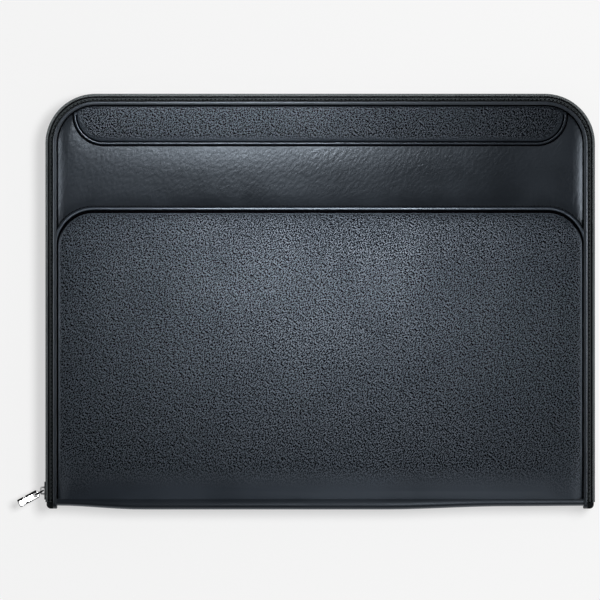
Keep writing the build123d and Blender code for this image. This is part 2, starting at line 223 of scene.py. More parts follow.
class Effects:
    """Shader node groups that several finishes share."""

    # name of the point value that says how much shade is painted in seams, grooves and under panel edges
    SEAM_SHADE = "seam"
    PRESS = "press"
    GRAIN_SCALE = 480.0
    GRAIN_DETAIL = 1.0
    GRAIN_LEAN = (0.0, 0.0, 0.9)
    GRAIN_DRAW = (1.7, 1.0, 1.0)
    RIDGE_LOW = (0.3, 0.0)
    RIDGE_HIGH = (0.7, 1.0)
    CREASE_LOW = (0.42, 1.0)
    CREASE_HIGH = (0.60, 0.0)
    WEAVE_SCALE = 9000.0
    WEAVE_SLANT = 0.7
    FUZZ = 0.2
    FUZZ_SCALE = 4000.0
    FUZZ_DETAIL = 2.0
    CLOUD_SCALE = 26.0
    CLOUD_DETAIL = 4.0
    CLOUD_ROUGHNESS = 0.6
    CLOUD_LOW = (0.3, 0.0)
    CLOUD_HIGH = (0.7, 1.0)

    def __init__(self) -> None:
        """Build the groups once."""
        self.pebble = self._pebble()
        self.weave = self._weave()
        self.wear_and_shade = self._wear_and_shade()

    @staticmethod
    def _group(name: str, scale: float, outputs: Sequence[str]) -> Graph:
        """Start a group that takes a scale.

        Args:
            name: The group's name.
            scale: The scale's first value.
            outputs: The output sockets' names.

        Returns:
            The graph of the group.
        """
        tree = bpy.data.node_groups.new(name, "ShaderNodeTree")
        given = tree.interface.new_socket("Scale", in_out="INPUT", socket_type="NodeSocketFloat")
        given.default_value = scale
        for label in outputs:
            tree.interface.new_socket(label, in_out="OUTPUT", socket_type="NodeSocketFloat")
        return Graph(tree)

    def _pebble(self) -> bpy.types.NodeTree:
        """Make the fine, leaning grain: short ridges with creases between them.

        Returns:
            The group, which gives a height and a crease mask.
        """
        graph = self._group("pebble_grain", self.GRAIN_SCALE, ("Height", "Crease"))
        scale = graph.add("NodeGroupInput").outputs["Scale"]
        parts = graph.add("SeparateXYZ", {"Vector": graph.add("TexCoord").outputs["Object"]})
        across = graph.math("SUBTRACT", parts.outputs["Y"], parts.outputs["Z"])
        place = graph.add("CombineXYZ", {"X": parts.outputs["X"], "Y": across}).outputs["Vector"]
        lean = {"Vector": place, "Rotation": self.GRAIN_LEAN, "Scale": self.GRAIN_DRAW}
        drawn = graph.add("Mapping", lean, vector_type="TEXTURE").outputs["Vector"]
        inputs = {"Vector": drawn, "Scale": scale, "Detail": self.GRAIN_DETAIL}
        ridges = graph.add("TexNoise", inputs, noise_dimensions="2D").outputs["Fac"]
        height = graph.ramp(ridges, self.RIDGE_LOW, self.RIDGE_HIGH)
        crease = graph.ramp(ridges, self.CREASE_LOW, self.CREASE_HIGH)
        graph.add("NodeGroupOutput", {"Height": height, "Crease": crease})
        return graph.tree

    def _weave(self) -> bpy.types.NodeTree:
        """Make a plain weave of crossing threads.

        Returns:
            The group, which gives a height.
        """
        graph = self._group("plain_weave", self.WEAVE_SCALE, ("Height",))
        scale = graph.add("NodeGroupInput").outputs["Scale"]
        place = graph.add("TexCoord").outputs["Object"]
        parts = graph.add("SeparateXYZ", {"Vector": place})
        slant = graph.math("MULTIPLY", parts.outputs["Z"], self.WEAVE_SLANT)
        waves = []
        for axis in ("X", "Y"):
            along = graph.math("ADD", parts.outputs[axis], slant)
            waves.append(graph.math("SINE", graph.math("MULTIPLY", along, scale), 0.0))
        inputs = {"Vector": place, "Scale": self.FUZZ_SCALE, "Detail": self.FUZZ_DETAIL}
        fuzz = graph.add("TexNoise", inputs).outputs["Fac"]
        loose = graph.math("MULTIPLY", fuzz, self.FUZZ)
        graph.add("NodeGroupOutput", {"Height": graph.math("ADD", graph.math("MULTIPLY", *waves), loose)})
        return graph.tree

    def _wear_and_shade(self) -> bpy.types.NodeTree:
        """Make slow, cloudy variation in tone, and read the shade painted into seams and grooves and where
        sewing presses the grain flat.

        Returns:
            The group, which gives a cloud value, a mask of painted seam shade and a mask of grain pressed
            flat.
        """
        graph = self._group("wear_and_seam_shade", self.CLOUD_SCALE, ("Cloud", "Seam", "Press"))
        scale = graph.add("NodeGroupInput").outputs["Scale"]
        place = graph.add("TexCoord").outputs["Object"]
        inputs = {"Vector": place, "Scale": scale, "Detail": self.CLOUD_DETAIL}
        cloud = graph.add("TexNoise", {**inputs, "Roughness": self.CLOUD_ROUGHNESS}).outputs["Fac"]
        # seam: how much shade is painted at each point, in seams, grooves and under panel edges
        seam = graph.add("Attribute", attribute_name=self.SEAM_SHADE).outputs["Fac"]
        press = graph.add("Attribute", attribute_name=self.PRESS).outputs["Fac"]
        shown = graph.ramp(cloud, self.CLOUD_LOW, self.CLOUD_HIGH)
        graph.add("NodeGroupOutput", {"Cloud": shown, "Seam": seam, "Press": press})
        return graph.tree


@dataclass(frozen=True)
class Finish:
    """One material: plain values, and which shared effects vary them."""

    RELIEF_DEPTH: ClassVar[float] = 0.3
    # an even painted crease shade where the grain is pressed flat
    EVENED_SHADE: ClassVar[float] = 0.15
    # the colour of painted shade in seams and creases
    PAINTED_SHADE: ClassVar[Colour] = (0.001, 0.001, 0.0015)
    WORN: ClassVar[float] = 0.1
    SEAM_DULL: ClassVar[float] = 0.5
    PRESS_DULL: ClassVar[float] = -0.12
    LINE_SHARE: ClassVar[float] = 0.05
    LINE_COLOUR: ClassVar[Colour] = (0.25, 0.42, 0.62)

    name: str
    colour: Colour
    roughness: float
    metallic: float = 0.0
    specular: float = 0.5
    tint: Colour = (1.0, 1.0, 1.0)
    sheen: float = 0.0
    transmission: float = 0.0
    grain: float = 0.0
    grain_scale: float = Effects.GRAIN_SCALE
    # how strongly shade is painted into the grain's creases
    crease: float = 0.0
    weave: float = 0.0
    weave_scale: float = Effects.WEAVE_SCALE
    ruled: float = 0.0
    # whether painted shade also blacks out reflections, through Metallic
    sewn: bool = False
    cloudy: float = 0.2

    def build(self, effects: Effects) -> bpy.types.Material:
        """Make the material.

        Args:
            effects: The shared node groups.

        Returns:
            The material.
        """
        material = bpy.data.materials.new(self.name)
        material.use_nodes = True
        graph = Graph(material.node_tree)
        shader = graph.add("BsdfPrincipled", {
            "Roughness": self.roughness,
            "Metallic": self.metallic,
            "Specular IOR Level": self.specular,
            "Specular Tint": solid(self.tint),
            "Sheen Weight": self.sheen,
            "Transmission Weight": self.transmission,
        })
        graph.add("OutputMaterial", {"Surface": shader.outputs["BSDF"]})
        wear_and_shade = graph.add("Group", node_tree=effects.wear_and_shade)
        shade_mask = self._relief(graph, shader, wear_and_shade, effects)
        self._paint(graph, shader, wear_and_shade, shade_mask)
        return material

    def _paint(
        self, graph: Graph, shader: bpy.types.Node, wear_and_shade: bpy.types.Node, shade_mask: bpy.types.NodeSocket
    ) -> None:
        """Vary the colour and the roughness, and paint shade into seams and creases.

        Args:
            graph: The material's graph.
            shader: The shader to feed.
            wear_and_shade: The group of cloud and painted seam shade.
            shade_mask: How much shade is painted at each place, in seams and creases.
        """
        cloud = wear_and_shade.outputs["Cloud"]
        pale = tuple((1 + self.cloudy) * part for part in self.colour)
        colour = graph.mix(cloud, solid(self.colour), solid(pale))
        if self.ruled:
            colour = self._lines(graph, colour)
        # painted shade: seams and creases take the near-black colour
        graph.put(shader.inputs["Base Color"], graph.mix(shade_mask, colour, solid(self.PAINTED_SHADE)))
        worn = graph.math("MULTIPLY", cloud, self.WORN)
        dull = graph.math("MULTIPLY", wear_and_shade.outputs["Seam"], self.SEAM_DULL)
        self._dull(graph, shader, graph.math("ADD", worn, dull))

    def _dull(self, graph: Graph, shader: bpy.types.Node, more: bpy.types.NodeSocket) -> None:
        """Add to the roughness.

        Args:
            graph: The material's graph.
            shader: The shader to feed.
            more: What to add to what is there.
        """
        socket = shader.inputs["Roughness"]
        now = socket.links[0].from_socket if socket.links else self.roughness
        graph.put(socket, graph.math("ADD", more, now))

    def _lines(self, graph: Graph, colour: bpy.types.NodeSocket) -> bpy.types.NodeSocket:
        """Print ruled lines across the paper.

        Args:
            graph: The material's graph.
            colour: The paper's own colour.

        Returns:
            The colour with the lines.
        """
        place = graph.add("SeparateXYZ", {"Vector": graph.add("TexCoord").outputs["Object"]})
        step = graph.math("FRACT", graph.math("DIVIDE", place.outputs["X"], self.ruled * MM), 0.0)
        line = graph.math("LESS_THAN", step, self.LINE_SHARE)
        return graph.mix(line, colour, solid(self.LINE_COLOUR))

    def _relief(
        self, graph: Graph, shader: bpy.types.Node, wear_and_shade: bpy.types.Node, effects: Effects
    ) -> bpy.types.NodeSocket:
        """Add the grain or the weave as relief, with shade painted into the creases.

        Args:
            graph: The material's graph.
            shader: The shader to feed.
            wear_and_shade: The group that says where sewing pressed the grain flat and where seam shade is
                painted.
            effects: The shared node groups.

        Returns:
            How much shade is painted at each place, in seams and creases.
        """
        shade_mask = wear_and_shade.outputs["Seam"]
        if not self.grain and not self.weave:
            return shade_mask
        kind, scale = (effects.pebble, self.grain_scale) if self.grain else (effects.weave, self.weave_scale)
        relief = graph.add("Group", node_tree=kind)
        relief.inputs["Scale"].default_value = scale
        press = wear_and_shade.outputs["Press"]
        left = graph.math("SUBTRACT", 1.0, press)
        bump = graph.add("Bump", {
            "Strength": self.grain or self.weave,
            "Distance": self.RELIEF_DEPTH * MM,
            "Height": graph.math("MULTIPLY", relief.outputs["Height"], left),
        })
        # shade painted into the grain's creases, evened where the grain is pressed flat
        if self.crease:
            crease = graph.math("MULTIPLY", relief.outputs["Crease"], left)
            pressed_shade = graph.math("MULTIPLY", press, self.EVENED_SHADE)
            crease = graph.math("MULTIPLY", graph.math("ADD", crease, pressed_shade), self.crease)
            shade_mask = graph.math("MAXIMUM", shade_mask, crease)
        # painted shade: full Metallic on a near-black colour blacks out reflections too
        if self.sewn:
            graph.put(shader.inputs["Metallic"], shade_mask)
            self._dull(graph, shader, graph.math("MULTIPLY", press, self.PRESS_DULL))
        graph.put(shader.inputs["Normal"], bump.outputs["Normal"])
        return shade_mask


COOL = (0.77, 0.875, 1.0)
BLACK = (0.0055, 0.0088, 0.0140)
SOFT_BLACK = (0.0028, 0.0037, 0.0050)
EDGE_BLACK = (0.0066, 0.0080, 0.0100)
TAPE_BLACK = (0.017, 0.021, 0.023)
# paler copy of the tape's colour, painted as a highlight on the lap's outer run
TAPE_HIGHLIGHT_GREY = (0.046, 0.052, 0.054)
THREAD_BLACK = (0.002, 0.002, 0.0025)
# crease=1.0 paints full shade into the grain's creases
GRAINED = Finish(
    "grained_leather", BLACK, 0.45, specular=0.76, tint=COOL, grain=0.4, grain_scale=1600.0, crease=1.0,
    sewn=True,
)
SMOOTH = Finish(
    "smooth_leather", SOFT_BLACK, 0.33, specular=0.26, tint=COOL, grain=0.15, grain_scale=500.0, cloudy=0.45,
    sewn=True,
)
EDGE = Finish(
    "edge_leather", EDGE_BLACK, 0.36, specular=0.32, tint=COOL, grain=0.05, grain_scale=700.0, sewn=True
)
INNER = Finish("inner_leather", (0.018, 0.020, 0.026), 0.5, grain=0.35, grain_scale=900.0)
LINING = Finish("lining_cloth", (0.020, 0.022, 0.028), 0.85, sheen=0.2, weave=0.5, weave_scale=7000.0)
BOARD = Finish("grey_board", (0.30, 0.28, 0.25), 0.9, weave=0.1)
TAPE = Finish("zip_tape_cloth", TAPE_BLACK, 0.8, specular=0.3, weave=0.8, weave_scale=6000.0, sewn=True)
TAPE_HIGHLIGHT = Finish("zip_tape_painted_highlight", TAPE_HIGHLIGHT_GREY, 0.7, specular=0.3, weave=0.6, weave_scale=6000.0)
TEETH = Finish("zip_teeth_grey", (0.17, 0.18, 0.18), 0.45)
METAL = Finish("bright_plate", (0.95, 0.955, 0.96), 0.35, metallic=0.35)
DARK_METAL = Finish("dark_plate", (0.03, 0.032, 0.036), 0.25, metallic=1.0)
# near-black finish that paints the dark reflections along the pull tab's edges
DARK_REFLECTION = Finish("painted_dark_reflection", (0.004, 0.004, 0.005), 0.5, specular=0.15)
WINDOW = Finish("clear_film", (0.95, 0.97, 1.0), 0.08, transmission=1.0)
ELASTIC = Finish("woven_elastic", (0.015, 0.016, 0.018), 0.8, sheen=0.3, weave=0.9, weave_scale=5000.0)
CARD = Finish("grey_card", (0.42, 0.36, 0.28), 0.85, weave=0.1)
PAPER = Finish("ruled_paper", (0.80, 0.80, 0.77), 0.8, ruled=7.1, cloudy=0.02)
PAPER_TAPE = Finish("paper_binding_tape", (0.02, 0.03, 0.06), 0.6, weave=0.2)
INNER_THREAD = Finish("grey_thread", (0.22, 0.22, 0.24), 0.6, weave=0.3, weave_scale=12000.0)
THREAD = Finish("waxed_thread", THREAD_BLACK, 0.8, specular=0.0, weave=0.3, weave_scale=12000.0)


class Shop:
    """Makes each finish once and puts it on the pieces."""

    def __init__(self) -> None:
        """Build the shared effects."""
        self.effects = Effects()
        self.made: Dict[str, bpy.types.Material] = {}

    def material(self, finish: Finish) -> bpy.types.Material:
        """Find or make a finish's material.

        Args:
            finish: The finish.

        Returns:
            Its material.
        """
        if finish.name not in self.made:
            self.made[finish.name] = finish.build(self.effects)
        return self.made[finish.name]

    def dress(self, piece: bpy.types.Object, finish: Finish, slot: Slot) -> None:
        """Put a finish on a piece.

        Args:
            piece: The piece.
            finish: Its finish.
            slot: The record's slot; not used.
        """
        piece.data.materials.clear()
        piece.data.materials.append(self.material(finish))
        LOG.info("dressed %s as %s", piece.name, finish.name)

    def mount(self, piece: bpy.types.Object, finish: Finish, slot: Slot, body: Body) -> None:
        """Dress a piece and let it ride on a body."""
        self.dress(piece, finish, slot)
        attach(piece, body.value)


def mesh_object(name: str, mesh: bmesh.types.BMesh, smooth_angle: float = SMOOTH_ANGLE) -> bpy.types.Object:
    """Turn a mesh into an object with soft shading.

    Args:
        name: The object's name.
        mesh: The mesh, freed here.
        smooth_angle: Edges sharper than this angle stay sharp.

    Returns:
        The object, in the scene.
    """
    bmesh.ops.recalc_face_normals(mesh, faces=mesh.faces)
    data = bpy.data.meshes.new(name)
    mesh.to_mesh(data)
    mesh.free()
    data.shade_smooth()
    data.set_sharp_from_angle(angle=smooth_angle)
    piece = bpy.data.objects.new(name, data)
    bpy.context.scene.collection.objects.link(piece)
    return piece


def mark(piece: bpy.types.Object, name: str, values: Sequence[float]) -> None:
    """Keep a value at each point of a piece, for its material to read."""
    layer = piece.data.attributes.new(name, "FLOAT", "POINT")
    layer.data.foreach_set("value", values)


def loft(
    mesh: bmesh.types.BMesh, rows: Sequence[Sequence[bmesh.types.BMVert]], closed: bool, capped: bool
) -> None:
    """Join each row of points to the next with faces.

    Args:
        mesh: The mesh to add to.
        rows: The rows, each with as many points.
        closed: Whether a row's last point joins its first.
        capped: Whether the first and the last row are filled.
    """
    for first, second in zip(rows, rows[1:]):
        for index in range(len(first) if closed else len(first) - 1):
            after = (index + 1) % len(first)
            mesh.faces.new((first[index], first[after], second[after], second[index]))
    if capped:
        mesh.faces.new(rows[0])
        mesh.faces.new(rows[-1])


def fill(
    lines: Sequence[Tuple[Sequence[Point2], bool]],
    filling: Filling,
    inside: Inside,
    place: Callable[[float, float], Point3],
) -> bmesh.types.BMesh:
    """Fill flat lines with faces and carry the points to their places.

    Args:
        lines: The lines' points, each with whether the line is closed.
        filling: What is filled.
        inside: Whether a face with its middle at a point is kept.
        place: Gives a point's place, in metres.

    Returns:
        The mesh.
    """
    points: List[Vector] = []
    edges: List[Tuple[int, int]] = []
    for line, closed in lines:
        start = len(points)
        points.extend(Vector(point) for point in line)
        last = len(points) - 1
        edges.extend((index, index + 1) for index in range(start, last))
        if closed:
            edges.append((last, start))
    flat, _, faces, *_ = delaunay_2d_cdt(points, edges, [], filling.value, FILL_GAP)
    mesh = bmesh.new()
    corners = [mesh.verts.new(place(point.x, point.y)) for point in flat]
    for face in faces:
        middle = sum((flat[index] for index in face), Vector((0.0, 0.0))) / len(face)
        if inside(middle.x, middle.y):
            mesh.faces.new([corners[index] for index in face])
    return mesh


def profile(steps: Steps, distance: float) -> float:
    """Read a height from a list of distances and heights, smoothly between them.

    Args:
        steps: The distances, rising, with a height at each.
        distance: Where to read.

    Returns:
        The height.
    """
    if distance <= steps[0][0]:
        return steps[0][1]
    for (low, first), (high, second) in zip(steps, steps[1:]):
        if distance <= high:
            share = (distance - low) / (high - low)
            return first + (second - first) * share * share * (3 - 2 * share)
    return steps[-1][1]


def spread(low: float, high: float, step: float) -> List[float]:
    """Evenly spaced values from low to high, at most a step apart."""
    count = max(1, ceil(abs(high - low) / step))
    return [low + (high - low) * number / count for number in range(count + 1)]


def arc(centre: Point2, radius: float, start: float, end: float, count: int) -> List[Point2]:
    """Points on an arc, from one angle to another, in as many steps as counted."""
    angles = [start + (end - start) * number / count for number in range(count + 1)]
    return [(centre[0] + radius * cos(turn), centre[1] + radius * sin(turn)) for turn in angles]


def unmarked(x: float, y: float) -> float:
    """No mark at any place."""
    return 0.0


def arch_distance(x: float, y: float, half_w: float, far_y: float, radius: float) -> float:
    """How far a point lies inside a shape with two rounded far corners and no near edge.

    Args:
        x: The point's place along the spine.
        y: The point's place across.
        half_w: Half of the shape's width.
        far_y: The place of its far edge.
        radius: The corners' radius.

    Returns:
        The distance, negative outside.
    """
    side = half_w - radius
    top = far_y - radius
    if abs(x) > side and y > top:
        return radius - hypot(abs(x) - side, y - top)
    return min(half_w - abs(x), far_y - y)


@dataclass
class Case:
    """The sizes that the outside pieces share, in millimetres."""

    half_w: float = 164.0
    half_h: float = 125.0
    corner_r: float = 26.0
    least_r: float = 0.5
    panel_inset: float = 2.3
    fold_r: float = 6.0
    thickness: float = 28.6
    base_top: float = 27.4
    back_t: float = 5.0
    front_in: float = 21.6
    leather_t: float = 1.2
    arc_step: float = 0.075
    arc_least: int = 6
    run_step: float = 16.0

    @property
    def fold_y(self) -> float:
        """The line where the covers end and the spine folds begin."""
        return self.fold_r - self.half_h

    @property
    def panel_half_w(self) -> float:
        """Half of the width between the seams beside the binding."""
        return self.half_w - self.panel_inset

    def edge_line(self, inset: float, near_y: float) -> List[Point2]:
        """The line round the left, far and right edges, drawn in by inset, with both ends at near_y."""
        radius = max(self.corner_r - inset, self.least_r)
        return self.arch(self.half_w - inset, self.half_h - inset, radius, near_y)

    def arch(self, half_w: float, far_y: float, radius: float, near_y: float) -> List[Point2]:
        """A line up one side, over the top with two rounded corners and down the other side.

        Args:
            half_w: Half of the width.
            far_y: The height of the top.
            radius: The corners' radius.
            near_y: Where both ends stop.

        Returns:
            The points, from the left end to the right end.
        """
        left = [(-half_w, y) for y in spread(near_y, far_y - radius, self.run_step)]
        count = max(self.arc_least, ceil(pi / 2 / self.arc_step))
        for number in range(1, count + 1):
            turn = pi / 2 * number / count
            left.append((-half_w + radius * (1 - cos(turn)), far_y - radius + radius * sin(turn)))
        top = [(x, far_y) for x in spread(-half_w + radius, half_w - radius, self.run_step)[1:-1]]
        right = [(-x, y) for x, y in reversed(left)]
        return left + top + right

    def edge_distance(self, x: float, y: float) -> float:
        """How far a point lies inside the covers' outline on the three zipped edges."""
        return arch_distance(x, y, self.half_w, self.half_h, self.corner_r)


@dataclass
class Sheet:
    """A leather sheet with relief: lines that it follows, a height over the plan, and a skirt."""

    name: str
    edge: List[Point2]
    lines: List[List[Point2]]
    inside: Inside
    height: Height
    # seam: how much shade is painted at each place
    seam: Height
    press: Height
    skirt: float

    def build(self) -> bpy.types.Object:
        """Make the sheet.

        Returns:
            The sheet as an object in the scene.
        """
        lines = [(self.edge, True), *((line, False) for line in self.lines)]
        mesh = fill(lines, Filling.HULL, self.inside, lambda x, y: (x * MM, y * MM, self.height(x, y) * MM))
        bmesh.ops.delete(mesh, geom=[v for v in mesh.verts if not v.link_faces], context="VERTS")
        rim = [edge for edge in mesh.edges if edge.is_boundary]
        for part in bmesh.ops.extrude_edge_only(mesh, edges=rim)["geom"]:
            if isinstance(part, bmesh.types.BMVert):
                part.co.z -= self.skirt * MM
        piece = mesh_object(self.name, mesh)
        # the seam value is painted shade, the press value is grain pressed flat
        for name, reading in ((Effects.SEAM_SHADE, self.seam), (Effects.PRESS, self.press)):
            mark(piece, name, [reading(v.co.x / MM, v.co.y / MM) for v in piece.data.vertices])
        return piece


def sweep(name: str, path: Sequence[Point2], section: Sequence[Point2]) -> bpy.types.Object:
    """Sweep a closed section, given as distance out and height, along a flat path and close both ends.

    Args:
        name: The object's name.
        path: The path's points.
        section: The section's points in turn.

    Returns:
        The object, with its points in the section's order at each of the path's points.
    """
    mesh = bmesh.new()
    rings = []
    for index, point in enumerate(path):
        before = path[max(index - 1, 0)]
        after = path[min(index + 1, len(path) - 1)]
        ahead = Vector((after[0] - before[0], after[1] - before[1])).normalized()
        out = Vector((-ahead.y, ahead.x))
        ring = []
        for reach, level in section:
            place = (point[0] + out.x * reach, point[1] + out.y * reach, level)
            ring.append(mesh.verts.new(tuple(part * MM for part in place)))
        rings.append(ring)
    loft(mesh, rings, closed=True, capped=True)
    return mesh_object(name, mesh)


def walk(path: Sequence[Point2], pitch: float) -> List[Tuple[Point2, Point2]]:
    """Places at an even spacing along a line, each with the direction there.

    Args:
        path: The line's points.
        pitch: The spacing.

    Returns:
        The places and unit directions.
    """
    found = []
    due = pitch / 2
    for (x0, y0), (x1, y1) in zip(path, path[1:]):
        run = hypot(x1 - x0, y1 - y0)
        while run > 0 and due <= run:
            share = due / run
            place = (x0 + (x1 - x0) * share, y0 + (y1 - y0) * share)
            found.append((place, ((x1 - x0) / run, (y1 - y0) / run)))
            due += pitch
        due -= run
    return found


@dataclass
class Stitches:
    """A row of sewn thread: short rounded bridges whose ends dive into the leather."""

    name: str
    path: Sequence[Point2]
    height: Height
    pitch: float = 3.2
    length: float = 2.5
    thread: float = 0.27
    up: float = 1.0
    dive: float = 0.35
    dive_power: int = 4
    taper: float = 0.55
    taper_power: int = 6
    sides: int = 6
    rings: int = 5

    def build(self) -> bpy.types.Object:
        """Make the row.

        Returns:
            The thread as an object in the scene.
        """
        mesh = bmesh.new()
        for place, ahead in walk(self.path, self.pitch):
            self._stitch(mesh, place, ahead)
        return mesh_object(self.name, mesh, pi)

    def _stitch(self, mesh: bmesh.types.BMesh, place: Point2, ahead: Point2) -> None:
        """Add one stitch.

        Args:
            mesh: The mesh to add to.
            place: The stitch's middle.
            ahead: The seam's direction there.
        """
        level = self.height(*place)
        rings = []
        for number in range(self.rings):
            share = 2 * number / (self.rings - 1) - 1
            along = share * self.length / 2
            sink = -self.dive * share ** self.dive_power
            girth = self.thread * (1 - self.taper * share ** self.taper_power)
            ring = []
            for side in range(self.sides):
                turn = 2 * pi * side / self.sides
                across = girth * cos(turn)
                rise = self.up * (girth * sin(turn) + sink)
                x = place[0] + ahead[0] * along - ahead[1] * across
                y = place[1] + ahead[1] * along + ahead[0] * across
                ring.append(mesh.verts.new((x * MM, y * MM, (level + rise) * MM)))
            rings.append(ring)
        loft(mesh, rings, closed=True, capped=True)


@dataclass
class Binding:
    """A rounded leather edging round the zipped edges, whose ends turn down with the folds."""

    case: Case
    name: str
    low: float
    high: float
    slack: float = 0.05
    rise: float = 0.3
    corner: float = 0.55
    corner_from: float = 0.95
    parts: int = 8
    end_steps: Tuple[float, ...] = (0.2, 0.5, 1.0, 1.8, 3.0, 4.5)
    end_proud: float = 0.35
    end_least: float = 0.5

    def _section(self) -> List[Point2]:
        """Draw the section: two low arches, one over the other.

        Returns:
            The points as distance out and height.
        """
        half = self.case.panel_inset / 2 - self.slack
        section = []
        for level, way in ((self.high, 1.0), (self.low, -1.0)):
            for number in range(self.parts + 1):
                across = way * half * cos(pi * number / self.parts)
                over = abs(across) / half
                drop = self.rise * over * over + (self.corner if over > self.corner_from else 0.0)
                section.append((across - half - self.slack, level - way * drop))
        return section

    def build(self) -> bpy.types.Object:
        """Make the edging.

        Returns:
            The piece.
        """
        case = self.case
        line = case.edge_line(0.0, -case.half_h)
        side = line[-1][0]
        ends = [step - case.half_h for step in self.end_steps if step - case.half_h < line[1][1]]
        line[1:1] = [(-side, y) for y in ends]
        line[-1:-1] = [(side, y) for y in reversed(ends)]
        piece = sweep(self.name, line, self._section())
        for vertex in piece.data.vertices:
            place = vertex.co / MM
            past = case.fold_y - place.y
            if past > 0:
                reach = sqrt(max(0.0, case.fold_r ** 2 - past ** 2)) + self.end_proud
                top = max(self.low + self.end_least, case.thickness - case.fold_r + reach)
                bottom = min(self.high - self.end_least, case.fold_r - reach)
                vertex.co.z = min(max(place.z, bottom), top) * MM
        return piece


@dataclass
class FrontCover:
    """The front: a smooth band between a long panel and a large grained panel, all sewn and bound."""

    case: Case
    shop: Shop
    fill: float = 0.9
    clear: float = 0.05
    bead_proud: float = 0.6

    band_puff: float = 1.1
    band_skirt: float = 1.0
    band_under: float = 30.0
    band_half_w: float = 155.0
    band_rows: Span = (54.0, 102.0, 2.0)
    band_steps: Steps = (
        (0.0, -1.9), (0.5, -1.85), (1.2, -1.5), (2.5, -0.98), (4.5, -0.45), (7.0, -0.12), (11.0, 0.0),
    )
    band_lines: Tuple[float, ...] = (0.25, 0.55, 0.95, 1.8, 3.5, 5.6, 9.0, 15.0)
    beside_lines: Tuple[float, ...] = (0.2, 0.75, 0.95, 1.15, 1.6)
    beside_run: float = 1.0
    # painted shadow on the band just under the panels' edges
    under_top_shadow: Steps = ((-1.15, 0.0), (-0.75, 1.0), (0.0, 1.0))
    under_main_shadow: Steps = ((-1.4, 0.0), (-0.2, 0.5))
    under_drop: Steps = ((0.0, 0.0), (0.4, -0.2), (2.0, -0.9))
    top_power: int = 2
    main_power: int = 4

    main_top: float = 60.2
    main_r: float = 24.5
    main_rim: float = 2.0
    main_crown: float = 2.0
    main_skirt: float = 1.1
    main_row_in: float = 24.0
    main_rows: Span = (34.0, 24.0, 10.0)
    near_lines: Point2 = (2.0, 4.0)
    near_rows: Span = (6.0, 26.0, 2.5)
    rim_steps: Steps = (
        (0.0, -1.0), (0.2, -0.3), (0.5, -0.06), (1.0, 0.0), (1.5, -0.06), (1.85, -0.4), (2.15, -1.3),
        (3.3, -1.4), (3.8, -1.3), (5.2, -0.88), (7.6, -0.36), (11.0, 0.0), (20.0, 0.35),
    )
    rim_lines: Tuple[float, ...] = (0.35, 0.75, 1.25, 2.6, 4.4, 6.4, 9.2, 15.0)
    # painted shade in the large panel's sewn groove, wide at the top and narrow along the sides
    main_groove_shade: Steps = ((1.7, 0.0), (1.95, 1.0), (3.7, 1.0), (3.95, 0.0))
    main_pressed: Steps = ((3.0, 0.0), (5.0, 1.0))
    side_groove_shade: Steps = ((1.7, 0.0), (1.95, 1.0), (2.9, 1.0), (3.2, 0.0))
    side_run: Steps = ((12.0, 0.0), (24.0, 1.0))
    side_roll: Steps = ((2.0, -1.0), (4.0, -0.92), (6.5, -0.5), (10.0, -0.17), (15.0, 0.0))
    near_droop: Steps = ((0.0, -1.3), (6.0, -0.72), (12.0, -0.3), (24.0, 0.0))
    near_calm: Steps = ((0.0, 0.0), (22.0, 1.0))
    near_pressed: Steps = ((4.0, 0.0), (22.0, 1.0))

    top_half_w: float = 151.2
    top_depth: float = 26.7
    top_r: float = 18.2
    top_puff: float = 0.6
    top_skirt: float = 1.1
    top_under: float = 1.0
    top_row_in: float = 20.0
    top_row_step: float = 3.0
    top_row_edge: float = 6.0
    top_steps: Steps = (
        (0.0, -1.2), (0.2, -0.35), (0.45, -0.08), (0.8, 0.0), (1.15, -0.08), (1.4, -0.6), (1.75, -1.0),
        (2.1, -0.6), (2.5, -0.1), (3.3, 0.0),
    )
    top_lines: Tuple[float, ...] = (0.6, 1.0, 2.8, 5.5, 8.5)
    # painted shade in the long panel's sewn groove
    top_groove_shade: Steps = ((1.25, 0.0), (1.5, 1.0), (1.95, 1.0), (2.2, 0.0))
    top_pressed: Steps = ((2.0, 0.0), (5.0, 1.0))
    bind_steps: Steps = ((0.0, -1.6), (0.45, -1.5), (0.8, -0.7), (1.2, -0.2), (2.2, 0.0))
    bind_lines: Tuple[float, ...] = (0.25, 0.45, 0.55, 0.8, 0.95, 1.2, 1.6, 2.2, 4.0)
    # painted shade in the groove beside the binding
    bind_groove_shade: Steps = ((0.0, 1.0), (0.55, 1.0), (0.95, 0.0))

    main_sewn: float = 2.75
    main_sewn_deep: float = 1.2
    edge_sewn: float = 0.55
    edge_sewn_up: float = 0.1
    edge_sewn_run: float = 10.0
    edge_sewn_clear: float = 1.0
    edge_pitch: float = 2.45
    edge_length: float = 1.3
    top_sewn: float = 1.75
    top_sewn_deep: float = 0.75
    top_sewn_clear: float = 0.8
    bind_sewn: float = 0.4
    bind_sewn_deep: float = 1.25
    bind_sewn_run: float = 12.0

    @property
    def main_half_w(self) -> float:
        """Half of the large panel's width, with the rim that the binding hides."""
        return self.case.half_w - self.case.panel_inset + self.main_rim

    @property
    def top_low(self) -> float:
        """The place of the long panel's lower edge."""
        return self.case.half_h - self.top_depth

    def main_line(self, out: float, near: float) -> List[Point2]:
        """The large panel's edge, moved out, with both ends at near."""
        radius = max(self.main_r + out, self.case.least_r)
        return self.case.arch(self.main_half_w + out, self.main_top + out, radius, near)

    def top_line(self, out: float, far: float) -> List[Point2]:
        """The long panel's ends and lower edge, moved out, with both ends at far.

        Args:
            out: How far the line lies outside the panel's edge.
            far: Where both ends stop.

        Returns:
            The points, from the right end to the left end.
        """
        radius = max(self.top_r + out, self.case.least_r)
        line = self.case.arch(self.top_half_w + out, out - self.top_low, radius, -far)
        return [(-x, -y) for x, y in line]

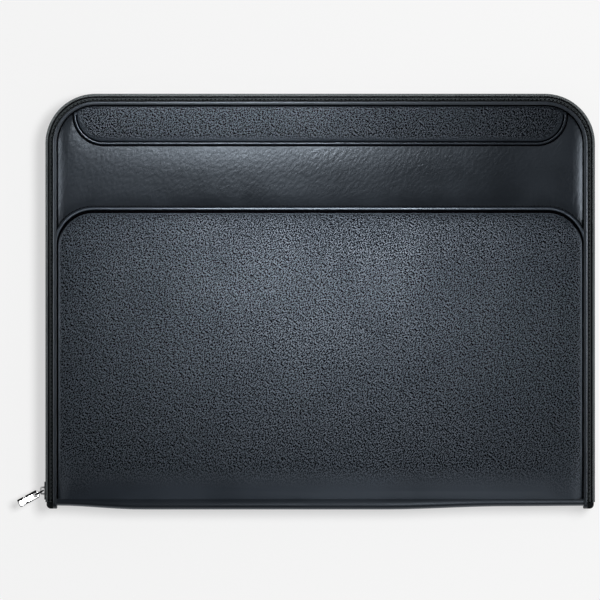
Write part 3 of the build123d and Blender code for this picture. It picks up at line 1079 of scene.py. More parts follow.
    def main_distance(self, x: float, y: float) -> float:
        """How far a point lies inside the large panel's own edge."""
        return arch_distance(x, y, self.main_half_w, self.main_top, self.main_r)

    def top_distance(self, x: float, y: float) -> float:
        """How far a point lies inside the long panel's lower edge and ends."""
        return arch_distance(x, -y, self.top_half_w, -self.top_low, self.top_r)

    def bind_distance(self, x: float, y: float) -> float:
        """How far a point lies inside the seam beside the binding."""
        return self.case.edge_distance(x, y) - self.case.panel_inset

    def within(self, line: Sequence[Point2], least: float) -> List[Point2]:
        """The part of a line that lies further inside the seam beside the binding than least."""
        return [(x, y) for x, y in line if self.bind_distance(x, y) > least]

    def row(self, y: float, half_w: float) -> List[Point2]:
        """A straight line along the spine's direction."""
        return [(x, y) for x in spread(-half_w, half_w, self.case.run_step)]

    def base(self) -> bpy.types.Object:
        """Make the smooth leather that shows as the band.

        Returns:
            The piece.
        """
        case = self.case
        inset = case.panel_inset
        near = self.main_top - self.band_under
        steps = [step for step, _ in self.band_steps[1:]]
        lines = [case.edge_line(inset + step, near) for step in (*steps, *self.band_lines)]
        lines += [self.row(y, self.band_half_w) for y in spread(*self.band_rows)]
        for step in self.beside_lines:
            lines.append(self.within(self.top_line(step, case.half_h), self.clear))
            lines.append(self.within(self.main_line(step, near + self.beside_run), self.clear))
        return Sheet(
            "front_band_leather",
            case.edge_line(inset, near),
            lines,
            lambda x, y: self.bind_distance(x, y) > 0 and y > near,
            self._band_height,
            # painted shade beside the binding and painted shadow under the panels' edges
            lambda x, y: max(
                profile(self.bind_groove_shade, self.bind_distance(x, y)),
                profile(self.under_top_shadow, self.top_distance(x, y)),
                profile(self.under_main_shadow, self.main_distance(x, y)),
            ),
            unmarked,
            self.band_skirt,
        ).build()

    def _band_height(self, x: float, y: float) -> float:
        """The band's height: lifted between the panels, drawn down at the binding and under the large panel.

        Args:
            x: The place along the spine.
            y: The place across.

        Returns:
            The height.
        """
        half = (self.top_low - self.main_top) / 2
        from_top = max(0.0, 1 + self.top_distance(x, y) / half)
        from_main = max(0.0, 1 + self.main_distance(x, y) / half)
        puff = self.band_puff * max(0.0, 1 - max(from_top ** self.top_power, from_main ** self.main_power))
        edge = profile(self.band_steps, self.bind_distance(x, y))
        return self.case.base_top + puff + edge + profile(self.under_drop, self.main_distance(x, y))

    def main(self) -> bpy.types.Object:
        """Make the large grained panel with its rolled rim and sewn groove.

        Returns:
            The piece.
        """
        case = self.case
        half_w = case.panel_half_w
        near = case.fold_y
        start = half_w - (self.main_half_w - self.main_r)
        shoulder = self.main_top - (self.main_r - sqrt(self.main_r ** 2 - start ** 2))
        over = [(x, y) for x, y in self.main_line(0.0, near) if abs(x) < half_w and y > shoulder]
        edge = [(-half_w, near), (-half_w, shoulder), *over, (half_w, shoulder), (half_w, near)]
        steps = [step for step, _ in (*self.rim_steps[1:], *self.main_groove_shade, *self.side_groove_shade[2:])]
        lines = []
        for step in (*steps, *self.rim_lines):
            lines.append([(x, y) for x, y in self.main_line(-step, near) if abs(x) < half_w])
        first, last, step = self.near_rows
        levels = [near + up for up in self.near_lines] + spread(near + first, near + last, step)
        first, last, step = self.main_rows
        levels += spread(near + first, self.main_top - last, step)
        lines += [self.row(y, half_w - self.main_row_in) for y in levels]
        return Sheet(
            "front_main_leather",
            edge,
            [line for line in lines if len(line) > 1],
            lambda x, y: self.main_distance(x, y) > 0 and abs(x) < half_w and y > near,
            lambda x, y: case.thickness + self._main_relief(x, y),
            self._main_groove_shade,
            lambda x, y: 1.0 - min(
                profile(self.main_pressed, self.main_distance(x, y)),
                profile(self.near_pressed, y - near),
            ),
            self.main_skirt,
        ).build()

    def _main_groove_shade(self, x: float, y: float) -> float:
        """How much shade is painted in the groove inside the large panel's bead, which narrows along the
        sides.

        Args:
            x: The point's place along the spine.
            y: The point's place across.

        Returns:
            The share, from 0 to 1.
        """
        inside = self.main_distance(x, y)
        side = profile(self.side_run, self.main_top - y)
        return (1 - side) * profile(self.main_groove_shade, inside) + side * profile(self.side_groove_shade, inside)

    def _main_relief(self, x: float, y: float) -> float:
        """The large panel's relief, which flattens out towards the spine.

        Args:
            x: The point's place along the spine.
            y: The point's place across.

        Returns:
            The height above the panel's level.
        """
        case = self.case
        rise = profile(self.rim_steps, self.main_distance(x, y))
        if rise > 0:
            rise *= profile(self.near_calm, y - case.fold_y)
        middle = (self.main_top + case.fold_y) / 2
        along = max(0.0, 1 - ((y - middle) / (self.main_top - middle)) ** 2)
        across = max(0.0, 1 - (x / case.half_w) ** 2)
        crown = self.main_crown * along * across
        return rise + self._roll(x, y) + crown + profile(self.near_droop, y - case.fold_y)

    def _roll(self, x: float, y: float) -> float:
        """How far the large panel's sides roll down beside the binding."""
        return profile(self.side_roll, self.main_distance(x, y)) * profile(self.side_run, self.main_top - y)

    def top(self) -> bpy.types.Object:
        """Make the long grained panel under the far edge.

        Returns:
            The piece.
        """
        case = self.case
        inset = case.panel_inset
        low = self.top_low
        cap = [(x, y) for x, y in case.edge_line(inset, low - self.top_under) if abs(x) < self.top_half_w]
        tip_y = cap[0][1]
        edge = cap + [(x, y) for x, y in self.top_line(0.0, tip_y) if y < tip_y - self.clear]
        steps = [step for step, _ in (*self.top_steps[1:], *self.top_groove_shade)] + [*self.top_lines]
        lines = [self.within(self.top_line(-step, case.half_h), self.clear) for step in steps]
        for step in self.bind_lines:
            line = case.edge_line(inset + step, low)
            lines.append([(x, y) for x, y in line if self.top_distance(x, y) > self.clear])
        for y in spread(low + self.top_row_edge, case.half_h - inset - self.top_row_edge, self.top_row_step):
            lines.append(self.row(y, self.top_half_w - self.top_row_in))
        return Sheet(
            "front_top_leather",
            edge,
            [line for line in lines if len(line) > 1],
            lambda x, y: self.top_distance(x, y) > 0 and self.bind_distance(x, y) > 0,
            lambda x, y: case.thickness + self._top_lift(y) + min(
                profile(self.top_steps, self.top_distance(x, y)),
                profile(self.bind_steps, self.bind_distance(x, y)),
            ),
            # painted shade in the long panel's groove and beside the binding
            lambda x, y: max(
                profile(self.top_groove_shade, self.top_distance(x, y)),
                profile(self.bind_groove_shade, self.bind_distance(x, y)),
            ),
            lambda x, y: 1.0 - profile(self.top_pressed, self.top_distance(x, y)),
            self.top_skirt,
        ).build()

    def _top_lift(self, y: float) -> float:
        """How far the padding lifts the long panel.

        Args:
            y: The place across.

        Returns:
            The lift.
        """
        half = self.top_depth / 2
        share = (y - self.case.half_h + half) / half
        return self.top_puff * max(0.0, 1 - share * share)

    def seams(self) -> List[bpy.types.Object]:
        """Sew the panels and the seam beside the binding.

        Returns:
            The rows of stitches.
        """
        case = self.case
        main = self.main_line(-self.main_sewn, case.fold_y)
        main_level = case.thickness - self.main_sewn_deep
        over = self.main_line(self.edge_sewn, self.main_top - self.edge_sewn_run)
        over = self.within(over, self.edge_sewn_clear)
        bowl = self.within(self.top_line(-self.top_sewn, case.half_h), self.top_sewn_clear)
        beside = case.edge_line(case.panel_inset + self.bind_sewn, self.main_top - self.bind_sewn_run)
        rows = (
            Stitches("main_panel_stitches", main, lambda x, y: main_level + self._roll(x, y)),
            Stitches(
                "main_edge_stitches",
                over,
                lambda x, y: case.base_top + self.edge_sewn_up,
                self.edge_pitch,
                self.edge_length,
            ),
            Stitches("top_panel_stitches", bowl, lambda x, y: case.thickness - self.top_sewn_deep),
            Stitches("binding_stitches", beside, lambda x, y: case.base_top - self.bind_sewn_deep),
        )
        return [row.build() for row in rows]

    def build(self) -> None:
        """Make, dress and mount every piece of the front."""
        case = self.case
        binding = Binding(case, "front_binding_leather", case.front_in, case.base_top + self.bead_proud)
        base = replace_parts(self.base(), "front_base_panel", "front_foam")
        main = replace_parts(self.main(), "front_main_panel")
        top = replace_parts(self.top(), "front_top_panel")
        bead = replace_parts(binding.build(), "front_binding")
        for piece, finish, slot in (
            (base, SMOOTH, Slot.SMOOTH),
            (main, GRAINED, Slot.GRAINED),
            (top, GRAINED, Slot.GRAINED),
            (bead, EDGE, Slot.EDGE),
        ):
            self.shop.mount(piece, finish, slot, Body.FRONT)
        for row in self.seams():
            self.shop.mount(row, THREAD, Slot.EDGE, Body.FRONT)


@dataclass
class BackCover:
    """The back: one grained panel that lies on the table, with its binding."""

    case: Case
    shop: Shop
    skirt: float = -1.4
    bind_steps: Steps = ((0.0, 1.0), (0.9, 0.9), (1.7, 0.15), (2.6, 0.0))
    # painted shade in the groove beside the binding
    bind_groove_shade: Steps = ((0.0, 1.0), (0.9, 0.95), (1.6, 0.0))
    lines: Tuple[float, ...] = (0.5, 0.9, 1.3, 1.7, 2.1, 2.6, 12.0, 30.0)
    sewn: float = 0.7
    sewn_z: float = 0.75

    def panel(self) -> bpy.types.Object:
        """Make the back leather.

        Returns:
            The piece.
        """
        case = self.case
        inset = case.panel_inset
        near = case.fold_y
        return Sheet(
            "back_leather",
            case.edge_line(inset, near),
            [case.edge_line(inset + step, near) for step in self.lines],
            lambda x, y: case.edge_distance(x, y) > inset and y > near,
            lambda x, y: profile(self.bind_steps, case.edge_distance(x, y) - inset),
            lambda x, y: profile(self.bind_groove_shade, case.edge_distance(x, y) - inset),
            unmarked,
            self.skirt,
        ).build()

    def build(self) -> None:
        """Make, dress and mount the back."""
        case = self.case
        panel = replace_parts(self.panel(), "back_panel", "back_foam")
        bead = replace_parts(Binding(case, "back_binding_leather", 0.0, case.back_t).build(), "back_binding")
        seam = case.edge_line(case.panel_inset + self.sewn, case.fold_y)
        row = Stitches("back_binding_stitches", seam, lambda x, y: self.sewn_z, up=-1.0).build()
        for piece, finish, slot in (
            (panel, GRAINED, Slot.GRAINED),
            (bead, EDGE, Slot.EDGE),
            (row, THREAD, Slot.EDGE),
        ):
            self.shop.mount(piece, finish, slot, Body.BACK)


@dataclass
class SpineCover:
    """The spine's leather and the two folds between it and the covers."""

    case: Case
    shop: Shop
    right_dip: Steps = ((40.0, -0.5), (115.0, 1.5), (162.0, 1.75))
    left_dip: Steps = ((110.0, -0.5), (162.0, 1.9))
    sink: float = 1.3
    sink_power: int = 3
    pressed: float = 1.0
    column_step: float = 8.0
    row_step: float = 4.0
    fold_rows: int = 14

    def dip(self, x: float) -> float:
        """How far the spine's outer face is drawn in at a place along it."""
        return profile(self.right_dip, x) if x > 0 else profile(self.left_dip, -x)

    def _sunk(self, share: float) -> float:
        """How far the front fold's leather sinks, at a share of the way up the fold."""
        return self.sink * share ** self.sink_power

    def _place(self, x: float, y: float, z: float) -> Point3:
        """Draw a point of the soft spine in towards the spine's ends and give its place in metres."""
        drawn = y + self.dip(x) * (self.case.fold_y - y) / self.case.fold_r
        return (x * MM, drawn * MM, z * MM)

    def _skin(self, name: str, line: Sequence[Point2]) -> bpy.types.Object:
        """Run a section, drawn in Y and Z, along the spine as a leather skin with thickness.

        Args:
            name: The piece's name.
            line: The section's outer line.

        Returns:
            The piece.
        """
        half_w = self.case.panel_half_w
        mesh = bmesh.new()
        rows = []
        for x in spread(-half_w, half_w, self.column_step):
            rows.append([mesh.verts.new(self._place(x, y, z)) for y, z in line])
        loft(mesh, rows, closed=False, capped=False)
        bmesh.ops.recalc_face_normals(mesh, faces=mesh.faces)
        if sum(face.normal.y for face in mesh.faces) > 0:
            bmesh.ops.reverse_faces(mesh, faces=mesh.faces)
        bmesh.ops.solidify(mesh, geom=mesh.faces[:], thickness=self.case.leather_t * MM)
        skin = mesh_object(name, mesh)
        mark(skin, Effects.PRESS, [self.pressed] * len(skin.data.vertices))
        return skin

    def build(self) -> None:
        """Make, dress and mount the spine, and make and dress its folds."""
        case = self.case
        high = case.thickness - case.fold_r
        flat = [(-case.half_h, z) for z in spread(case.fold_r, high, self.row_step)]
        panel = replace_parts(self._skin("spine_leather", flat), "spine_panel", "spine_board")
        self.shop.mount(panel, GRAINED, Slot.GRAINED, Body.SPINE)
        back_line = arc((case.fold_y, case.fold_r), case.fold_r, 1.5 * pi, pi, self.fold_rows)
        front_line = arc((case.fold_y, high), case.fold_r, pi, 0.5 * pi, self.fold_rows)
        front_line = [(y, z - self._sunk((z - high) / case.fold_r)) for y, z in front_line]
        back_fold = self._skin("back_fold_leather", back_line)
        front_fold = self._skin("front_fold_leather", front_line)
        for piece in (back_fold, front_fold):
            self.shop.dress(piece, GRAINED, Slot.GRAINED)
        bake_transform(back_fold)
        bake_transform(front_fold)


@dataclass
class Gutters:
    """The lining cloth that runs from each cover through the fold to the spine."""

    case: Case
    shop: Shop
    spine: SpineCover
    half_w: float = 161.5
    column_step: float = 6.0
    ease: float = 0.15
    calm_z: float = 6.0
    calm_run: float = 0.7
    cloth_t: float = 0.35
    back_hem: Tuple[Point2, ...] = ((-119.25, 5.0), (-119.25, 4.2), (-119.25, 3.4), (-119.25, 2.6))
    front_hem: Tuple[Point2, ...] = ((-119.25, 7.0), (-119.25, 5.5), (-119.25, 4.0), (-119.25, 2.6))
    pleat: Tuple[Point2, ...] = (
        (-119.25, 2.6), (-119.5, 2.42), (-119.96, 2.43), (-120.85, 2.8), (-121.62, 3.38), (-122.1, 4.0),
        (-122.35, 4.44), (-122.42, 4.9), (-122.3, 5.3),
    )
    spine_hem: Tuple[Point2, ...] = (
        (-122.3, 5.3), (-121.9, 5.62), (-121.4, 5.75), (-121.0, 6.05), (-120.98, 7.2),
    )

    def _place(self, x: float, y: float, z: float, front: bool) -> Point3:
        """Carry a point of the back fold's line to its place, clear of the leather that is drawn in.

        Args:
            x: The place along the spine.
            y: The line's place across.
            z: The line's height in the back fold.
            front: Whether the strip lies in the front fold instead.

        Returns:
            The place in metres.
        """
        calm = min(1.0, max(0.0, (self.calm_z - z) / self.calm_run))
        give = self.ease * max(0.0, self.spine.dip(x)) * calm
        inward = y + give * max(0.0, self.pleat[0][0] - y)
        level = self.case.thickness - z if front else z
        return (x * MM, inward * MM, level * MM)

    def _strip(self, name: str, line: Sequence[Point2], front: bool) -> bpy.types.Object:
        """Run a line, drawn in Y and Z, along the spine as a strip of cloth.

        Args:
            name: The piece's name.
            line: The middle line of the cloth, drawn for the back fold.
            front: Whether the strip lies in the front fold instead.

        Returns:
            The piece, dressed.
        """
        mesh = bmesh.new()
        rows = []
        for x in spread(-self.half_w, self.half_w, self.column_step):
            rows.append([mesh.verts.new(self._place(x, y, z, front)) for y, z in line])
        loft(mesh, rows, closed=False, capped=False)
        bmesh.ops.recalc_face_normals(mesh, faces=mesh.faces)
        bmesh.ops.solidify(mesh, geom=mesh.faces[:], thickness=self.cloth_t * MM)
        strip = mesh_object(name, mesh)
        self.shop.dress(strip, LINING, Slot.LINING)
        return strip

    def build(self) -> None:
        """Make and dress the strips of both folds, and mount the hems and edges."""
        for name, cover, hem in (("back", Body.BACK, self.back_hem), ("front", Body.FRONT, self.front_hem)):
            front = cover is Body.FRONT
            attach(self._strip(f"{name}_gutter_hem", hem, front), cover.value)
            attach(self._strip(f"{name}_gutter_edge", self.spine_hem, front), Body.SPINE.value)
            strip = self._strip(f"{name}_gutter_pleat", self.pleat, front)
            low, high = (self._place(0.0, y, z, front) for y, z in (self.pleat[0], self.pleat[-1]))
            if front:
                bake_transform(strip)
            else:
                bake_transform(strip)


@dataclass
class InnerSoft:
    """The cloth and leather inside, with turned edges and faces that lie a little uneven."""

    UP: ClassVar[Point3] = (0.0, 0.0, 1.0)
    DOWN: ClassVar[Point3] = (0.0, 0.0, -1.0)
    INWARD: ClassVar[Point3] = (0.0, 1.0, 0.0)

    shop: Shop
    turned: float = 0.18
    turned_parts: int = 2
    turned_round: float = 0.5
    sharp: float = 0.5
    flat_angle: float = 0.01
    merge: float = 0.001
    grid: float = 7.0
    hollow: float = 0.16
    hollow_run: float = 14.0
    hollow_scale: float = 38.0
    pieces: Tuple[Tuple[Finish, Slot, Body, Point3, Tuple[str, ...]], ...] = (
        (LINING, Slot.LINING, Body.BACK, UP, ("back_lining",)),
        (LINING, Slot.LINING, Body.FRONT, DOWN, ("front_lining",)),
        (LINING, Slot.LINING, Body.SPINE, INWARD, ("spine_lining",)),
        (INNER, Slot.INNER, Body.BACK, UP, ("pad_panel", "pad_sleeve")),
        (INNER, Slot.INNER, Body.FRONT, DOWN, (
            "document_pocket", "tablet_pocket", "card_slot_1", "card_slot_2", "card_slot_3",
            "id_window_frame",
        )),
        (ELASTIC, Slot.ELASTIC, Body.BACK, UP, ("pen_loop",)),
    )

    def _turn_edges(self, mesh: bmesh.types.BMesh) -> None:
        """Join the flat faces again and round every sharp edge.

        Args:
            mesh: The mesh, in millimetres.
        """
        bmesh.ops.remove_doubles(mesh, verts=mesh.verts[:], dist=self.merge)
        bmesh.ops.dissolve_limit(mesh, angle_limit=self.flat_angle, verts=mesh.verts[:], edges=mesh.edges[:])
        sharp = [edge for edge in mesh.edges if edge.is_manifold and edge.calc_face_angle() > self.sharp]
        bmesh.ops.bevel(
            mesh,
            geom=sharp,
            offset=self.turned,
            segments=self.turned_parts,
            profile=self.turned_round,
            affect="EDGES",
            clamp_overlap=True,
        )

    def _cut_grid(self, mesh: bmesh.types.BMesh) -> None:
        """Cut the faces along a grid, so that they can bend.

        Args:
            mesh: The mesh, in millimetres.
        """
        for axis, normal in enumerate(Matrix.Identity(3)):
            low = min(vertex.co[axis] for vertex in mesh.verts)
            high = max(vertex.co[axis] for vertex in mesh.verts)
            if high - low < 2 * self.grid:
                continue
            for level in spread(low, high, self.grid)[1:-1]:
                geometry = mesh.verts[:] + mesh.edges[:] + mesh.faces[:]
                bmesh.ops.bisect_plane(mesh, geom=geometry, plane_co=normal * level, plane_no=normal)

    def _sink(self, mesh: bmesh.types.BMesh, facing: Vector) -> None:
        """Let the face that shows sink unevenly between its sewn edges.

        Args:
            mesh: The mesh, in millimetres.
            facing: The way that the face looks, along one axis.
        """
        top = max(vertex.co.dot(facing) for vertex in mesh.verts)
        shown = [vertex for vertex in mesh.verts if vertex.co.dot(facing) > top - self.merge]
        across = [axis for axis, part in enumerate(facing) if not part]
        ends = [(min(v.co[axis] for v in shown), max(v.co[axis] for v in shown)) for axis in across]
        for vertex in shown:
            inside = min(
                min(vertex.co[axis] - low, high - vertex.co[axis]) for axis, (low, high) in zip(across, ends)
            )
            share = min(1.0, max(0.0, inside / self.hollow_run))
            depth = self.hollow * (1 + noise.noise(vertex.co / self.hollow_scale)) / 2
            vertex.co -= facing * depth * share

    def build(self) -> None:
        """Make, dress and mount every soft piece inside."""
        for finish, slot, body, facing, names in self.pieces:
            for name in names:
                source = frame["nodes"][name]
                mesh = bmesh.new()
                mesh.from_mesh(source.data)
                mesh.transform(source.matrix_world)
                bmesh.ops.scale(mesh, vec=(1 / MM,) * 3, verts=mesh.verts[:])
                self._turn_edges(mesh)
                self._cut_grid(mesh)
                self._sink(mesh, Vector(facing))
                bmesh.ops.scale(mesh, vec=(MM,) * 3, verts=mesh.verts[:])
                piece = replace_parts(mesh_object(f"{name}_soft", mesh), name)
                self.shop.mount(piece, finish, slot, body)


@dataclass
class InnerSewing:
    """The pale rows of thread that hold the pockets and the pad's panel."""

    shop: Shop
    pitch: float = 3.4
    length: float = 2.4
    thread: float = 0.22
    rows: Tuple[Tuple[str, Body, float, float, Tuple[Point2, ...]], ...] = (
        ("pad_panel_sewing", Body.BACK, 5.8, 1.0,
         ((-154.5, -116.0), (-154.5, 115.5), (154.5, 115.5), (154.5, -116.0))),
        ("document_pocket_sewing", Body.FRONT, 20.1, -1.0,
         ((-154.5, -98.0), (-154.5, 115.5), (154.5, 115.5), (154.5, -98.0))),
        ("tablet_pocket_sewing", Body.FRONT, 18.9, -1.0,
         ((4.0, -90.5), (4.0, 104.0), (144.0, 104.0), (144.0, -90.5))),
        ("card_slot_sewing", Body.FRONT, 18.0, -1.0,
         ((-72.5, 12.0), (-42.0, 12.0), (-42.0, 104.0), (-72.5, 104.0))),
        ("id_window_sewing", Body.FRONT, 19.0, -1.0,
         ((-100.3, -86.3), (-41.7, -86.3), (-41.7, -1.7), (-100.3, -1.7), (-100.3, -86.3))),
    )

    def build(self) -> None:
        """Sew every row."""
        for name, body, level, up, path in self.rows:
            row = Stitches(name, path, lambda x, y, at=level: at, self.pitch, self.length, self.thread, up)
            self.shop.mount(row.build(), INNER_THREAD, Slot.INNER, body)


@dataclass
class ZipTapes:
    """The two woven tapes that carry the chain, each with its row of sewing beside the binding."""

    case: Case
    shop: Shop
    chain_z: float = 14.3
    chain_out: float = 2.9
    cloth_t: float = 0.7
    flange: float = 6.5
    crease: float = 0.3
    edge_z: float = 1.9
    bend_z: float = 4.8
    end_y: float = -121.0
    lap_out: float = 4.6
    lap_fall: float = 1.1
    lap_step: float = 0.24
    lap_tuck: Tuple[Point2, ...] = ((0.12, 0.3), (0.0, 0.6), (-0.6, 0.8))
    lap_under: Point2 = (-1.4, 0.5)
    highlight_out: float = 3.3
    # painted shade on the tape: the gap beside the binding and the fold beside the chain
    tape_shade: Steps = ((0.5, 1.0), (0.8, 0.1), (2.1, 0.1), (2.5, 1.0), (2.9, 1.0), (3.3, 0.0))
    sewn_out: float = 1.2
    sewn_pitch: float = 2.5
    sewn_length: float = 1.5
    sewn_thread: float = 0.3

    def _section(self, cover_z: float, side: float) -> List[Point2]:
        """Draw one tape's section: flat in the cover, bent out, then along to the chain.

        Args:
            cover_z: The level of the cover's inner face.
            side: 1 for the front tape and -1 for the back one.

        Returns:
            The section's points as distance out and height.
        """
        wall_out = self.chain_out + self.cloth_t / 2
        wall_in = self.chain_out - self.cloth_t / 2
        edge = self.chain_z + side * self.edge_z
        bend = self.chain_z + side * self.bend_z
        inner_z = cover_z - side * self.cloth_t
        outs = spread(self.crease, self.lap_out, self.lap_step)
        lap = [(out, cover_z - side * self._fall(out)) for out in outs]
        tip = lap[-1][1]
        tuck = [(self.lap_out + out, tip - side * fall) for out, fall in self.lap_tuck]
        under = (self.lap_out + self.lap_under[0], tip - side * self.lap_under[1])
        outer = [(-self.flange, cover_z), *lap, *tuck, (wall_out, bend), (wall_out, edge)]
        inner = [(wall_in, edge), (wall_in, bend), under, (self.crease, inner_z), (-self.flange, inner_z)]
        return outer + inner

    def _fall(self, out: float) -> float:
        """How far the tape's lap has fallen below the cover's inner face, at a distance outside its edge."""
        share = (out - self.crease) / (self.lap_out - self.crease)
        return self.lap_fall * share ** 2

    def _paint_highlight(self, cloth: bpy.types.Object, side: float) -> None:
        """Paint a highlight on the outermost run of a tape's lap: its upward faces get a paler copy of the
        tape's finish.

        Args:
            cloth: The tape.
            side: 1 for the front tape and -1 for the back one.
        """
        cloth.data.materials.append(self.shop.material(TAPE_HIGHLIGHT))
        for face in cloth.data.polygons:
            x, y, _ = face.center / MM
            outside = -self.case.edge_distance(x, y)
            # only faces turned up take the painted highlight
            face.material_index = 1 if outside > self.highlight_out and face.normal.z * side > 0 else 0

    def build(self) -> None:
        """Make, dress and mount both tapes."""
        case = self.case
        path = case.edge_line(0.0, self.end_y)
        seam = case.edge_line(-self.sewn_out, self.end_y)
        for name, cover_z, side, body in (
            ("back", case.back_t, -1.0, Body.BACK),
            ("front", case.front_in, 1.0, Body.FRONT),
        ):
            section = self._section(cover_z, side)
            cloth = sweep(f"{name}_zip_cloth", path, section)
            # painted shade at set distances across the tape
            mark(cloth, Effects.SEAM_SHADE, [profile(self.tape_shade, out) for out, _ in section] * len(path))
            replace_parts(cloth, f"{name}_zip_tape")
            self.shop.mount(cloth, TAPE, Slot.TAPE, body)
            self._paint_highlight(cloth, side)
            level = cover_z - side * self._fall(self.sewn_out)
            row = Stitches(
                f"{name}_zip_sewing",
                seam,
                lambda x, y, at=level: at,
                self.sewn_pitch,
                self.sewn_length,
                self.sewn_thread,
                side,
            )
            self.shop.mount(row.build(), THREAD, Slot.TAPE, body)


@dataclass
class PullTab:
    """The bright tab of the zip's pull: a bevelled plate with an eye and notched edges, with black paint on
    its sides and black rails along its long edges for painted dark reflections.
    """

    shop: Shop
    pivot: Point3 = (-170.25, -114.0, 14.3)
    lean: float = 28.5
    reach: float = 5.3
    length: float = 14.2
    width: float = 5.0
    thickness: float = 1.4
    corner_r: float = 0.6
    eye_d: float = 2.2
    notch_d: float = 1.2
    notch_in: float = 5.0
    turns: int = 12
    bevel: float = 0.55
    bevel_parts: int = 2
    bevel_round: float = 0.5
    sharp: float = 1.3
    level_gap: float = 1e-6
    smooth_angle: float = 0.5
    face_up: float = 0.95
    rail_from: float = 1.5
    rail_gap: float = 0.9
    rail_end: float = 0.4
    rail_wide: float = 1.5
    rail_thin: float = 0.6
    rail_edge: float = 0.05
    rail_sunk: float = 0.3
    rail_rise: float = 0.5
    rail_step: float = 1.5
    rail_parts: int = 6

    @property
    def end(self) -> float:
        """How far along the pull the tab ends."""
        return self.reach + self.length - self.width / 2

    @property
    def notch(self) -> float:
        """How far along the pull the notches lie."""
        return self.end - self.notch_in

    def _outline(self) -> List[Point2]:
        """The tab's outline, drawn along the pull.

        Returns:
            The points, counter-clockwise.
        """
        half = self.width / 2
        corner = self.corner_r
        far = self.end - corner
        turns = (
            ((self.reach, 0.0), half, 0.5 * pi, 1.5 * pi),
            ((self.notch, -half), self.notch_d / 2, pi, 0.0),
            ((far, corner - half), corner, -0.5 * pi, 0.0),
            ((far, half - corner), corner, 0.0, 0.5 * pi),
            ((self.notch, half), self.notch_d / 2, 0.0, -pi),
        )
        return [point for turn in turns for point in arc(*turn, self.turns)]

    def _place(self, along: float, across: float, level: float) -> Point3:
        """Carry a point of the tab to its place on the pull.

        Args:
            along: The point's place along the pull.
            across: Its place across the pull.
            level: Its height above the tab's middle.

        Returns:
            The place in metres.
        """
        lean = radians(self.lean)
        x = self.pivot[0] - along * cos(lean) + across * sin(lean)
        y = self.pivot[1] - along * sin(lean) - across * cos(lean)
        return (x * MM, y * MM, (self.pivot[2] + level) * MM)

    def _plate(self) -> bpy.types.Object:
        """Make the bevelled plate.

        Returns:
            The piece.
        """
        eye_r = self.eye_d / 2
        eye = arc((self.reach, 0.0), eye_r, 0.0, 2 * pi, self.turns)[:-1]
        mesh = fill(
            [(self._outline(), True), (eye, True)],
            Filling.SHAPES,
            lambda along, across: hypot(along - self.reach, across) > eye_r,
            lambda along, across: self._place(along, across, -self.thickness / 2),
        )
        for part in bmesh.ops.extrude_face_region(mesh, geom=mesh.faces[:])["geom"]:
            if isinstance(part, bmesh.types.BMVert):
                part.co.z += self.thickness * MM
        bmesh.ops.recalc_face_normals(mesh, faces=mesh.faces)
        sharp = []
        for edge in mesh.edges:
            first, second = edge.verts
            if edge.calc_face_angle(0.0) > self.sharp and abs(first.co.z - second.co.z) < self.level_gap:
                sharp.append(edge)
        bmesh.ops.bevel(
            mesh,
            geom=sharp,
            offset=self.bevel * MM,
            segments=self.bevel_parts,
            profile=self.bevel_round,
            affect="EDGES",
        )
        return mesh_object("pull_tab_plate", mesh, self.smooth_angle)

    def build(self) -> None:
        """Make, dress and mount the tab and its rails, with black paint on its sides and rails for painted
        dark reflections.
        """
        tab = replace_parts(self._plate(), "pull_tab")
        self.shop.mount(tab, METAL, Slot.METAL, Body.TAB)
        tab.data.materials.append(self.shop.material(DARK_REFLECTION))
        # faces not turned up take the black finish: painted dark reflections on the bevels and sides
        for face in tab.data.polygons:
            face.material_index = 0 if abs(face.normal.z) > self.face_up else 1
        start = self.reach - self.rail_from
        for name, first, last, side, wide in (
            ("tab_rail_inner", start, self.notch - self.rail_gap, -1.0, self.rail_wide),
            ("tab_rail_outer", self.notch + self.rail_gap, self.end - self.rail_end, -1.0, self.rail_wide),
            ("tab_rail_near", start, self.end - self.rail_gap, 1.0, self.rail_thin),
        ):
            middle = side * (self.width / 2 - wide / 2 - self.rail_edge)
            rail = self._rail(name, spread(first, last, self.rail_step), middle, wide / 2)
            self.shop.mount(rail, DARK_REFLECTION, Slot.METAL, Body.TAB)

    def _rail(self, name: str, places: Sequence[float], middle: float, half: float) -> bpy.types.Object:
        """Raise a rounded rail along one of the tab's long edges, painted black as a dark reflection.

        Args:
            name: The piece's name.
            places: The rail's places along the pull.
            middle: Its middle, across the pull.
            half: Half of its width.

        Returns:
            The piece.
        """
        mesh = bmesh.new()
        floor = self.thickness / 2 - self.rail_sunk
        rings = []
        for along in places:
            ring = []
            for turn in (pi * number / self.rail_parts for number in range(self.rail_parts + 1)):
                place = self._place(along, middle + half * cos(turn), floor + self.rail_rise * sin(turn))
                ring.append(mesh.verts.new(place))
            rings.append(ring)
        loft(mesh, rings, closed=False, capped=True)
        return mesh_object(name, mesh)


